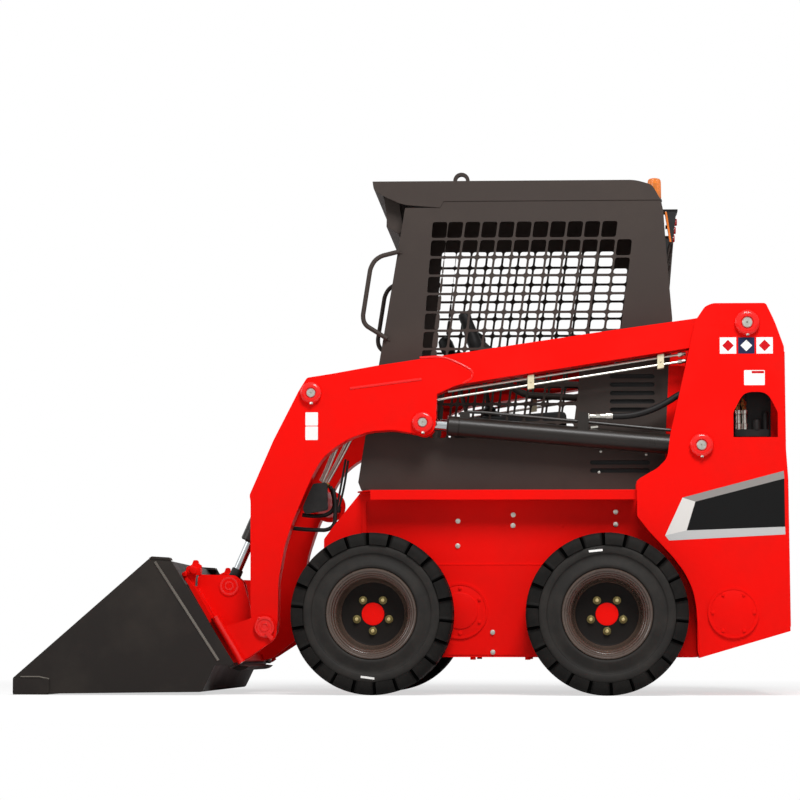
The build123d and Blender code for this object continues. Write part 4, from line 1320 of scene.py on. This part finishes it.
# %% Lap bar
BAR_Y, BAR_PIVOT = 270, (-700, 1200)
bm, foam = bmesh.new(), bmesh.new()
for sign in (1, -1):
    y = sign * BAR_Y
    pipe(bm, [in_plane(BAR_PIVOT, y), (-420, y, 1215), (-330, y, 1330), (-270, sign * 200, 1390),
              (-255, sign * 150, 1405)], 14, bend=60, sides=4)
    puck(bm, in_plane(BAR_PIVOT, y - 14), OUTWARD, 26, 28, edge=2)
pipe(foam, [(-276, 212, 1384), (-240, 90, 1420), (-240, -90, 1420), (-276, -212, 1384)], 28, bend=70, sides=6)
bar = finish(bm, "lap_bar_tubes", "seat_bar", CHARCOAL)
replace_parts(bar, "lap_bar")
sleeve = finish(foam, "lap_bar_foam", "seat_bar", FOAM)
print("lap bar made")

# %% [markdown]
# The seat's shell is one moulding seen as a bent strip from the side, on two rails. The control
# levers stand on the consoles: a rubber boot in folds, a steel stick and a moulded grip with a
# thumb button. Boots and grips are round all the way up, so they are turned along the stick. The
# consoles are moulded covers, drawn in side view with large round corners.


# %% Seat shell, levers and consoles
BOOT = [(-20, 40), (0, 38), (8, 30), (16, 33), (24, 24), (32, 27), (42, 16), (56, 13)]
LONG_GRIP = [(0, 16), (6, 24), (40, 29), (120, 26), (170, 23), (196, 25), (207, 20), (211, 10)]
ROUND_GRIP = [(0, 14), (8, 22), (30, 29), (56, 30), (78, 25), (88, 12)]
LONG_WAY, ROUND_WAY = (73, 0, 199), (36, 0, 80)      # which way each grip leans
CONSOLE = [(-620, 785), (-620, 1090), (-250, 1064), (-172, 1000), (-160, 940), (-200, 785)]
bm = bmesh.new()
plate(bm, rounded([(-404, 812), (-866, 871), (-900, 905), (-914, 1398), (-904, 1404), (-884, 930), (-850, 905),
                   (-408, 848)], 6, 3), -226, 226)
for y in (-150, 150):
    pipe(bm, [(-470, y, 806), (-830, y, 852)], 9, bend=10)
finish(bm, "seat_shell", "machine", PLASTIC, bevel=3.0)


def boot_and_stick(boots, sticks, foot, head):
    """Rubber boot in three folds round the foot of a lever, and the stick that comes out of it."""
    foot, head = Vector(foot), Vector(head)
    turned(boots, foot, (head - foot).normalized(), BOOT, 32)
    pipe(sticks, [foot, head], 9, bend=5)


boots, sticks, grips = bmesh.new(), bmesh.new(), bmesh.new()
boot_and_stick(boots, sticks, (-325, 322, 1072), (-287, 322, 1300))
turned(grips, (-291, 322, 1285), LONG_WAY, LONG_GRIP, 32)
puck(grips, (-222, 322, 1478), LONG_WAY, 7, 6, edge=1.5, sides=20)
boot_and_stick(boots, sticks, (-228, -362, 1070), (-138, -362, 1400))
turned(grips, (-144, -362, 1382), ROUND_WAY, ROUND_GRIP, 32)
finish(boots, "lever_boots", "machine", HOSE)
finish(sticks, "lever_sticks", "machine", CHARCOAL)
finish(grips, "lever_grips", "machine", PLASTIC)
for side, low, high in (("left", 250, 400), ("right", -400, -250)):
    bm = bmesh.new()
    plate(bm, rounded(CONSOLE, 26, 5), low, high)
    cover = finish(bm, f"console_cover_{side}", "machine", PLASTIC, bevel=7.0, segments=3)
    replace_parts(cover, f"console_{side}")
print("seat shell, levers and consoles made")

# %% [markdown]
# On the floor lies a ribbed rubber mat with two foot pedals. The right console carries four
# gauges, each a rim with a pale face a little below it, and a row of switches. The console's top
# slopes, so the gauges lean with it and each switch stands a little lower than the last.


# %% Mat, pedals and instruments
FLOOR_Z = 432
RIBS, SWITCHES = 24, 5
CONSOLE_SLOPE, CONSOLE_TOP = 0.07, (-620, 1083)
GAUGES = [(-560, 300), (-560, 352), (-490, 300), (-490, 352)]
bm = bmesh.new()
plate(bm, rounded(box(-396, 118, -300, 300), 18), FLOOR_Z, FLOOR_Z + 4, "Z")
for i in range(RIBS):
    y = -276 + 24 * i
    plate(bm, box(-380, 104, y - 5, y + 5), FLOOR_Z + 4, FLOOR_Z + 6.5, "Z")
finish(bm, "floor_mat", "machine", HOSE, bevel=0.8, segments=1)
bm = bmesh.new()
for y in (-190, 190):
    plate(bm, rounded([(-40, 500), (70, 560), (76, 552), (-34, 492)], 3, 2), y - 45, y + 45)
    pipe(bm, [(20, y, 528), (36, y, 440)], 9, bend=5)
finish(bm, "foot_pedals", "machine", CHARCOAL, bevel=1.5)
bm, faces = bmesh.new(), bmesh.new()
for x, y in GAUGES:
    at = (x, -y, CONSOLE_TOP[1] - (x - CONSOLE_TOP[0]) * CONSOLE_SLOPE)
    ring(bm, at, (CONSOLE_SLOPE, 0, 1), 22, 17, 6)
    puck(faces, at, (CONSOLE_SLOPE, 0, 1), 17, 3, edge=0.5, sides=28)
for i in range(SWITCHES):
    x, z = -430 + 34 * i, 1070 - 2.4 * i
    plate(bm, rounded(box(x, x + 20, -352, -312), 3), z, z + 14, "Z")
finish(bm, "console_gauge_rims", "machine", PLASTIC, bevel=0.8)
finish(faces, "console_gauge_faces", "machine", WHITE_FILM)
print("cab inside made")

# %% [markdown]
# ## Pins, bolts and covers
# Each pivot ends in a painted collar with a rounded rim. The pale steel pin shows in its middle
# and a keeper bolt goes in from below. The profile is turned, because a pin collar is a lathe
# part and its soft rim is what catches the light. The collars on the tower are a little larger,
# so the same rows are scaled.


# %% Pivot collars
ARM_Y, TOWER_Y, CHASSIS_Y = 530, 560, 430        # outer faces of arm, tower and chassis
# Distance out and radius: collar, then the pin in its middle
COLLAR = [(0, 41), (5, 41), (8.5, 39.5), (11, 36.5), (12.8, 32.5), (13.8, 28), (13.5, 21), (9, 19.5)]
PIN_END = [(8, 17), (13, 17), (15, 15)]
# Name, body, place (x, z), plane of its foot, scale
PIVOTS = [("tilt_pivot", "lift_arm", TILT_TOP, ARM_Y + 8, 1.0),
          ("lift_eye_pivot", "lift_arm", LIFT_EYE, ARM_Y + 8, 1.0),
          ("arm_pivot", "machine", (-1303, 1409), TOWER_Y + 7.5, 1.16),
          ("lift_base_pivot", "machine", LIFT_BASE, TOWER_Y + 7.5, 1.1)]


def scaled(rows, scale):
    """Rows of a profile, each value times a scale."""
    return [(distance * scale, radius * scale) for distance, radius in rows]


for name, body, place, y, scale in PIVOTS:
    bm, pin = bmesh.new(), bmesh.new()
    turned(bm, in_plane(place, y), OUTWARD, scaled(COLLAR, scale), 56)
    centre_mark = [(15 * scale, 4.5), (12 * scale, 1)]
    turned(pin, in_plane(place, y), OUTWARD, scaled(PIN_END, scale) + centre_mark, 40)
    puck(pin, (place[0] - 2, y + 7, place[1] - 36 * scale), (0, 0.25, -1), 6.5, 8, edge=1, sides=6)
    mirrored(bm)
    mirrored(pin)
    finish(bm, f"{name}_collars", body, RED_EDGE)
    finish(pin, f"{name}_pins", body, ZINC)
print("pivots:", [row[0] for row in PIVOTS])

# %% [markdown]
# The pins of the quick attach end in low heads with a rim and a boss, painted with the frame.
# The upper ones lie between the ears and the arms, so they are kept low enough for the arms to
# pass. A tab with a bolt keeps each lower pin from turning.


# %% Bucket pins with their tabs
BUCKET_PIVOT = (527, 256)
# Place, plane of the foot, radius, how much further the boss stands out
HEADS = [(TILT_EYE, 427.4, 38, 1.5), (BUCKET_PIVOT, 555, 40, 0)]
bm = bmesh.new()
for place, y, radius, boss in HEADS:
    rim = [(0, radius), (4, radius), (7, radius - 3), (7, radius - 10), (4, radius - 12)]
    middle = [(4 + boss, 19), (6 + boss, 17), (6 + boss, 12), (3.5 + boss, 10)]
    turned(bm, in_plane(place, y), OUTWARD, rim + middle)
plate(bm, rounded([(515, 244), (488, 214), (499, 203), (527, 232)], 7, 4), 561, 567)
bolt(bm, (499, 567, 213), OUTWARD, 8)
bolt(bm, (548, 560, 290), OUTWARD, 5)
mirrored(bm)
finish(bm, "bucket_pin_heads", "bucket_carrier", RED_EDGE, bevel=0.8, segments=1)
print("bucket pin heads made")

# %% [markdown]
# Zinc-plated bolts hold the chain cases together. Round covers give access to the chains: a disc
# with a raised rim and six bolts, in the tower's panel and low on the chassis. A second sheet
# lies over the chassis between the wheels, welded along its top edge.


# %% Bolts, covers and lower sheet
CHASSIS_BOLTS = [(-203, 664), (-202, 569), (-415, 688), (-414, 647), (-807, 699), (-807, 651)]
SHEET_BOLTS = [(-336, 238), (-337, 162)]
LOWER_SHEET_X, LOWER_SHEET_Z, LOWER_SHEET_T = (-560, -70), (152, 496), 3
# Place (x, z), outer face, radius, radius of the bolt circle, angle of the first bolt
COVERS = [((-1246, 312), 568, 93, 78, 0), ((-211, 320), 438, 104, 86, 30)]
bm = bmesh.new()
for y, places in ((CHASSIS_Y, CHASSIS_BOLTS), (CHASSIS_Y + LOWER_SHEET_T, SHEET_BOLTS)):
    for place in places:
        bolt(bm, in_plane(place, y), OUTWARD, 9)
mirrored(bm)
finish(bm, "chassis_bolts", "machine", ZINC)
bm = bmesh.new()
for place, y, radius, holes, phase in COVERS:
    puck(bm, in_plane(place, y - 8), OUTWARD, radius, 8, edge=1.6, sides=64)
    ring(bm, in_plane(place, y - 8), OUTWARD, radius + 3, radius - 6, 10, sides=64)
    for i in range(6):
        bolt(bm, in_plane(round_about(place, holes, phase + 60 * i), y), OUTWARD, 7)
puck(bm, in_plane(COVERS[1][0], COVERS[1][1]), OUTWARD, 69, 5, edge=2, sides=56)
mirrored(bm)
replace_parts(finish(bm, "cover_rims", "machine", RED, bevel=1.2), "access_covers")
bm = bmesh.new()
plate(bm, box(*LOWER_SHEET_X, *LOWER_SHEET_Z), CHASSIS_Y, CHASSIS_Y + LOWER_SHEET_T)
weld(bm, [(LOWER_SHEET_X[1], 432.5, 497), (LOWER_SHEET_X[0], 432.5, 497)], 2.0, 5)
plate(bm, box(150, 166, 620, 741), CHASSIS_Y, CHASSIS_Y + 10)
puck(bm, (-602, CHASSIS_Y, 645), OUTWARD, 6, 0.6, edge=0.2, sides=20)
for x in (-260, -470):
    puck(bm, (x, 400, 143), DOWN, 12, 10, edge=2, sides=6)
mirrored(bm)
finish(bm, "chassis_lower_sheet", "machine", RED, bevel=0.8)
print("bolts:", len(CHASSIS_BOLTS) + len(SHEET_BOLTS), "a side, covers:", len(COVERS))

# %% [markdown]
# ## Welds and pressed lines
# The box of the upper arm tapers out on the knee plate. Its rounded edge and a pressed rib show
# as raised lines under the paint. Small round tubes let into the surface give that swelling. The
# towers' rear edges are closed by long weld beads.


# %% Lines on the arm and towers
RIB = [(207, 1167), (-67, 1202)]
BOX_END = [(-60, 1284), (-151, 1289), (-225, 1255), (-263, 1232), (-262, 1205), (-225, 1186)]
bm = bmesh.new()
pipe(bm, [(x, ARM_Y - 3.5, z) for x, z in RIB], 7, bend=5, sides=4)
pipe(bm, [(x, ARM_Y - 2.5, z) for x, z in BOX_END], 5.5, bend=34, sides=4)
mirrored(bm)
finish(bm, "arm_pressed_lines", "lift_arm", RED_EDGE)
bm = bmesh.new()
for y in (428.5, 547.5):
    weld(bm, [(-1459, y, 260), (-1453, y, 815), (-1445, y, 929), (-1442, y, 1300)], 3.0, 6)
weld(bm, [(-1120, TOWER_Y, 165), (-1109, TOWER_Y, 322)], 1.8, 6)
mirrored(bm)
finish(bm, "tower_welds", "machine", RED)
print("lines made")

# %% [markdown]
# ## Decals
# Printed film lies on the paint: a wedge in silver and black on each rear panel, three small
# squares above it, and blank label plates. Each is a plate 0.4 mm thick on the steel, and a mark
# on a square is a thinner one on top of it. They carry no lettering.


# %% Decals on the rear panels and arms
FILM, MARK = 0.4, 0.3                   # thickness of a film, and of a mark on a film
BADGE_Z, BADGE_MIDDLE = (1292, 1354), 1323
BADGES = [(-1400, -1338), (-1331, -1269), (-1262, -1200)]
# Name, finish, outline
WEDGE = [("wedge_upper", GREY_FILM, [(-1057, 746), (-1438, 847), (-1440, 818), (-1105, 731)]),
         ("wedge_front", PALE_FILM, [(-1057, 746), (-1105, 731), (-1072, 622), (-991, 603)]),
         ("wedge_lower", SILVER_FILM, [(-991, 603), (-1072, 622), (-1442, 636), (-1443, 607), (-1006, 584)]),
         ("wedge_middle", BLACK_FILM, [(-1105, 731), (-1440, 818), (-1442, 636), (-1072, 622)])]


def decal(name, body, material, y, shapes, thickness=FILM):
    """Film cut to one or more outlines on the left, mirrored to the right."""
    bm = bmesh.new()
    for rows in shapes:
        plate(bm, rows, y, y + thickness)
    mirrored(bm)
    finish(bm, name, body, material)


def diamond(a, b, reach=22):
    """Outline of a diamond in the middle of a badge."""
    middle = (a + b) / 2
    return [(middle - reach, BADGE_MIDDLE), (middle, BADGE_MIDDLE - reach),
            (middle + reach, BADGE_MIDDLE), (middle, BADGE_MIDDLE + reach)]


for name, material, rows in WEDGE:
    decal(name, "machine", material, TOWER_Y, [rows])
first, second, third = BADGES
decal("badge_fields_white", "machine", WHITE_FILM, TOWER_Y, [box(*first, *BADGE_Z), box(*third, *BADGE_Z)])
decal("badge_field_blue", "machine", BLUE_FILM, TOWER_Y, [box(*second, *BADGE_Z)])
decal("badge_marks_red", "machine", RED_FILM, TOWER_Y + FILM, [diamond(*first), diamond(*third)], MARK)
decal("badge_mark_white", "machine", WHITE_FILM, TOWER_Y + FILM, [diamond(*second)], MARK)
decal("panel_label", "machine", WHITE_FILM, TOWER_Y, [rounded(box(-1369, -1291, 1172, 1229), 3, 2)])
decal("panel_label_band", "machine", RED_FILM, TOWER_Y + FILM, [box(-1366, -1320, 1217, 1226)], MARK)
decal("arm_label", "lift_arm", WHITE_FILM, ARM_Y,
      [rounded(box(329, 377, 1025, 1076), 3, 2), rounded(box(329, 377, 970, 1022), 3, 2)])
print("decals:", len(WEDGE) + 7)

# %% [markdown]
# ## Hydraulics on the arms
# Oil reaches the bucket through pipes and hoses that follow the arm. Inside the knee four pale
# pipes come down to brass and zinc fittings, and black hoses loop on to the tilt cylinder from a
# black plate, which is painted shade: it covers the end of the cross tube where the knee lies in
# shadow. Pipes and hoses are the same kind of path with different bends: steel tube is bent
# tightly and kept straight between, hose sweeps.


# %% Knee pipes, fittings and hoses
# The last three points of each pipe as (x, z); it comes from further up the arm
KNEE_PIPES = [((196, 1010), (250, 905), (300, 815)), ((222, 985), (262, 900), (318, 800)),
              ((262, 960), (292, 880), (326, 806)), ((276, 948), (304, 872), (338, 800))]
KNEE_FITTINGS = [(300, 404, 812), (318, 414, 798), (326, 414, 804), (338, 414, 798)]
FITTING_WAY = Vector((0.42, 0, -0.9)).normalized()
# How far along a fitting each of its three parts starts, radius, height, edge, sides
FITTING = [(0, 11, 16, 1.5, 6), (16, 8, 14, 1, 20), (30, 10, 12, 1.5, 6)]
# Radius, points
KNEE_HOSES = [(8, [(292, 404, 800), (278, 402, 765), (274, 400, 716), (300, 398, 690), (352, 398, 684),
                   (400, 400, 690)]),
              (8, [(280, 416, 790), (270, 418, 740), (272, 418, 650), (300, 416, 630), (380, 412, 632),
                   (450, 404, 640)]),
              (4.5, [(223, 398, 900), (238, 396, 800), (258, 396, 716)]),
              (4.5, [(232, 408, 905), (250, 406, 800), (266, 404, 720)])]
bm = bmesh.new()
for a, b, c in KNEE_PIPES:
    y = 408 + a[0] % 3 * 6
    pipe(bm, [(a[0] - 90, y, a[1] + 130), in_plane(a, y), in_plane(b, y), in_plane(c, y)], 6, bend=40)
finish(bm, "knee_pipes", "lift_arm", ZINC)
bm = bmesh.new()
for at in KNEE_FITTINGS:
    for start, radius, height, edge, sides in FITTING:
        puck(bm, Vector(at) + FITTING_WAY * start, FITTING_WAY, radius, height, edge, sides)
finish(bm, "knee_fittings", "lift_arm", BRASS)
bm = bmesh.new()
for radius, points in KNEE_HOSES:
    pipe(bm, points, radius, bend=34, sides=4)
puck(bm, (262, 400, 722), (0.05, 0, -1), 12, 24, edge=5, sides=24)
# Black plate over the cross tube's end: painted shade for the shadow in the knee.
plate(bm, rounded([(296, 706), (384, 690), (392, 716), (352, 806), (300, 812)], 8), 437, 474)
finish(bm, "knee_hoses_and_shade_plate", "lift_arm", HOSE)
print("knee:", len(KNEE_PIPES), "pipes and", len(KNEE_HOSES), "hoses")

# %% [markdown]
# Each lift barrel carries its own oil line: a steel tube along its top, held by straps, and a
# hose that leaves the rear end in one wide bow and goes into the tower. The tube's fittings are
# a row of hexagons and collars. All of it rides on the barrel: a real hose bends a little more or
# less on its way into the tower, and this one keeps its bow and turns with the barrel instead.


# %% Tube, strap and hose on the lift barrels
BARREL_TUBE = [(-246, 1064), (-236, 1080), (-300, 1078), (-677, 1042), (-1016, 1008)]
BARREL_HOSE = [(-790, 488, 1062), (-850, 488, 1061), (-930, 488, 1078), (-1000, 488, 1112), (-1060, 488, 1152),
               (-1130, 486, 1170), (-1190, 484, 1150)]
bm = bmesh.new()
pipe(bm, [in_plane(place, LIFT_Y) for place in BARREL_TUBE], 6.5, bend=14)
plate(bm, rounded([(-212, 1022), (-250, 1019), (-250, 1078), (-212, 1080)], 6, 3), 468, 498)
plate(bm, rounded([(-660, 1000), (-703, 996), (-703, 1074), (-664, 1080)], 8, 3), 506, 514)
plate(bm, rounded([(-676, 996), (-696, 994), (-696, 1052), (-676, 1054)], 3, 2), 458, 508)
mirrored(bm)
finish(bm, "lift_barrel_tubes", "lift_barrel", CYLINDER_COAT, bevel=1.0, segments=1)
bm = bmesh.new()
pipe(bm, BARREL_HOSE, 12.5, bend=60, sides=5)
mirrored(bm)
finish(bm, "lift_barrel_hoses", "lift_barrel", HOSE)
bm = bmesh.new()
for x, radius, length, sides in ((-708, 9, 26, 20), (-732, 13, 18, 6), (-750, 11, 22, 24), (-770, 15, 26, 24)):
    puck(bm, (x, 488, 1062), BACK, radius, length, edge=1.2, sides=sides)
puck(bm, (-712, 496, 1018), (-1, 0, 0.08), 7, 28, edge=1.2, sides=6)
puck(bm, (-700, 488, 1052), UP, 12, 20, edge=2, sides=24)
mirrored(bm)
finish(bm, "lift_barrel_fittings", "lift_barrel", ZINC)
print("barrel hoses made")

# %% [markdown]
# ## Behind the tower window and at the back
# The window in each tower shows quick couplers on a dark bracket: sleeves that slide back to let
# a hose go, with brass nuts above, and hoses that rise from them. They are turned pieces. A black
# plate behind them closes the view into the machine: painted shade, for the dark inside the tower.


# %% Couplers in the tower window
COUPLER_Y = 448
SLEEVE = [(0, 9), (2, 13), (24, 14), (26, 11), (60, 11), (62, 14), (76, 14), (78, 9)]
COUPLER_NUT = [(0, 9), (16, 9), (18, 12), (32, 12), (34, 7), (48, 7)]
bm, brass = bmesh.new(), bmesh.new()
for x in (-1276, -1300):
    turned(bm, (x, COUPLER_Y, 1010), (0.02, 0, 1), SLEEVE, 28)
    turned(brass, (x + 2, COUPLER_Y, 1086), (0.1, 0, 1), COUPLER_NUT, 6)
mirrored(bm)
mirrored(brass)
finish(bm, "coupler_sleeves", "machine", ZINC)
finish(brass, "coupler_nuts", "machine", BRASS)
bm = bmesh.new()
plate(bm, rounded([(-1262, 985), (-1390, 985), (-1390, 1012), (-1262, 1012)], 6, 3), 433, 466)
# Black plate behind the couplers: painted shade for the dark inside the tower.
plate(bm, [(-1238, 962), (-1400, 962), (-1400, 1160), (-1238, 1160)], 428.4, 432)
puck(bm, (-1345, 451, 1010), UP, 18, 40, edge=5, sides=28)
puck(bm, (-1378, 450, 1010), UP, 12, 70, edge=4, sides=20)
for x in (-1274, -1298):
    path = [(x, 1130), (x + 4, 1200), (x + 40, 1260), (x + 60, 1330)]
    pipe(bm, [in_plane(place, COUPLER_Y) for place in path], 9, bend=60, sides=4)
mirrored(bm)
finish(bm, "coupler_brackets_and_shade_plate", "machine", HOSE, bevel=1.5)
print("couplers made")

# %% [markdown]
# The swing door at the back has a moulded latch, two hinges and, behind its louvres, a wire
# screen that keeps chaff out of the radiator. The screen is two rows of thin bars one against
# the other: woven wire would look the same from a step away and cost many more faces. Two round
# red lamps sit on each side of the door, one above the other.


# %% Door latch, hinges, screen and tail lamps
DOOR_FACE = -1447
HINGE_X, HINGE_Y = -1452, -402
WIRE, WIRE_PITCH = 1.4, 20              # half width of a bar, and from one bar to the next
bm = bmesh.new()
plate(bm, rounded([(336, 748), (384, 748), (384, 842), (336, 842)], 8), DOOR_FACE, -1456, "X")
plate(bm, rounded([(346, 764), (374, 764), (374, 824), (346, 824)], 6), -1456, -1464, "X")
for z in (520, 1050):
    pipe(bm, [(HINGE_X, HINGE_Y, z - 42), (HINGE_X, HINGE_Y, z + 42)], 9, bend=3, sides=4)
    plate(bm, rounded(box(-398, -340, z - 30, z + 30), 6, 3), DOOR_FACE, HINGE_X, "X")
finish(bm, "door_latch_and_hinges", "door", PLASTIC, bevel=1.2)
bm = bmesh.new()
for i in range(31):
    y = -300 + WIRE_PITCH * i
    plate(bm, box(y - WIRE, y + WIRE, 556, 1014), -1427, -1424.5, "X")
for i in range(23):
    z = 560 + WIRE_PITCH * i
    plate(bm, box(-304, 304, z - WIRE, z + WIRE), -1424.5, -1423, "X")
finish(bm, "door_screen", "door", SCREEN_WIRE)
bm = bmesh.new()
for y in (470, -470):
    for z in (700, 560):
        puck(bm, (-1446, y, z), BACK, 34, 10, edge=3, sides=40)
finish(bm, "tail_lamps", "machine", RED_LENS)
print("door trim made")

# %% [markdown]
# ## Floor, light and camera
# The floor is white and matt, and keeps the soft shadow under the wheels. So that no horizon
# shows, the camera sees it turn to plain white further out, like the surroundings, while every
# other ray meets a plain diffuse surface.


# %% Floor
FLOOR_SIZE = 60.0                       # metres
FADE_NEAR, FADE_FAR = 1.9, 5.0          # metres from the middle, between which the floor turns white


def floor_finish():
    """White floor that keeps a soft shadow and fades into the white surroundings."""
    material, tree, at = new_finish("white_studio_floor")
    grain = add(tree, "TexNoise", {"Vector": at, "Scale": per_mm(40), "Detail": 2.0})
    rough = add(tree, "MapRange", {"Value": grain.outputs["Fac"], "To Min": 0.6, "To Max": 0.8})
    matt = add(tree, "BsdfDiffuse", {"Color": linear("F7F7F7"), "Roughness": rough.outputs[0]})
    glow = add(tree, "Emission", {"Color": linear("FFFFFF"), "Strength": 1.0})
    ray = add(tree, "LightPath")
    centred = add(tree, "VectorMath", {0: at}, operation="LENGTH")
    fade = add(tree, "MapRange", {"Value": centred.outputs["Value"], "From Min": FADE_NEAR, "From Max": FADE_FAR,
                                  "To Min": 0.62, "To Max": 1.0})
    seen = add(tree, "Math", {0: ray.outputs["Is Camera Ray"], 1: fade.outputs[0]}, operation="MULTIPLY")
    shader = add(tree, "MixShader", {0: seen.outputs[0], 1: matt.outputs[0], 2: glow.outputs[0]})
    return close_finish(material, tree, shader)


bm = bmesh.new()
bmesh.ops.create_grid(bm, x_segments=1, y_segments=1, size=FLOOR_SIZE)
mesh = bpy.data.meshes.new("studio_floor")
bm.to_mesh(mesh)
bm.free()
mesh.materials.append(floor_finish())
ground = bpy.data.objects.new("studio_floor", mesh)
bpy.context.scene.collection.objects.link(ground)
ground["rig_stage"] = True
print("floor:", ground.name)

# %% [markdown]
# The surroundings are white to the camera and to anything that mirrors or lets light through,
# and light the rest softly from all round. One large lamp above and in front gives the steel its
# gentle gradients, and a weaker one fills the front of the bucket. More lamps would double the
# shadows without showing more of the shape.


# %% Surroundings and lamps
def facing(at, way):
    """Matrix of a lamp or camera at a point, looking along a direction with its top up."""
    return Matrix.Translation(Vector(at)) @ Vector(way).to_track_quat("-Z", "Y").to_matrix().to_4x4()


def surroundings(strength):
    """White to the camera and in reflections; a soft even light on everything else."""
    world = bpy.data.worlds.new("white_studio")
    bpy.context.scene.world = world
    world.use_nodes = True
    tree = world.node_tree
    tree.nodes.clear()
    ray = add(tree, "LightPath")
    mirror = add(tree, "Math", {0: ray.outputs["Is Glossy Ray"], 1: ray.outputs["Is Transmission Ray"]},
                 operation="MAXIMUM")
    seen = add(tree, "Math", {0: ray.outputs["Is Camera Ray"], 1: mirror.outputs[0]}, operation="MAXIMUM")
    level = add(tree, "MapRange", {"Value": seen.outputs[0], "To Min": strength, "To Max": 1.0})
    sky = add(tree, "Background", {"Color": linear("FFFFFF"), "Strength": level.outputs[0]})
    add(tree, "OutputWorld", {"Surface": sky.outputs[0]})


def softbox(name, at, aim, size, power):
    """Square area lamp at a point, aimed at another."""
    lamp = bpy.data.lights.new(name, "AREA")
    lamp.size = size
    lamp.energy = power
    light = bpy.data.objects.new(name, lamp)
    light.matrix_world = facing(at, Vector(aim) - Vector(at))
    bpy.context.scene.collection.objects.link(light)


surroundings(0.33)
softbox("key_softbox", (-1.4, 4.6, 5.6), (-0.1, 0, 0.8), size=2.4, power=390)
softbox("front_softbox", (5.5, 2.5, 3.0), (0.5, 0, 0.6), size=2.5, power=60)

# %% [markdown]
# The camera stands far back at wheel height with a long lens, nearly square to the machine's left
# side. The far wheels, arm and cab post then show just past the near ones. The lens is shifted
# instead of tilted further, so that upright edges stay upright.


# %% Camera
CAMERA_AT = (-0.6178, 10.9453, 0.1742)
TURN, TILT, ROLL = math.radians(2.804), math.radians(3.523), math.radians(0.082)
LENS, SENSOR, SHIFT = 123.47, 36.0, (-0.04, 0.10)       # mm, mm, and shares of the picture
lens_data = bpy.data.cameras.new("long_lens")
lens_data.sensor_width = SENSOR
lens_data.lens = LENS
lens_data.shift_x, lens_data.shift_y = SHIFT
camera = bpy.data.objects.new("camera", lens_data)
looking = Vector((math.sin(TURN) * math.cos(TILT), -math.cos(TURN) * math.cos(TILT), math.sin(TILT)))
camera.matrix_world = facing(CAMERA_AT, looking) @ Matrix.Rotation(ROLL, 4, "Z")
bpy.context.scene.collection.objects.link(camera)
bpy.context.scene.camera = camera
bpy.context.scene.view_settings.view_transform = "Standard"
print("camera at", CAMERA_AT, "lens", LENS)

# %% [markdown]
# ## Sizes
# The box of the dressed machine, floor left out, is printed: trim may stand a little proud of the
# frame, and nothing should be far outside it.


# %% Sizes and the last call
import json

low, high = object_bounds()
print("visual box", [round(v, 3) for v in (high - low)], "m")
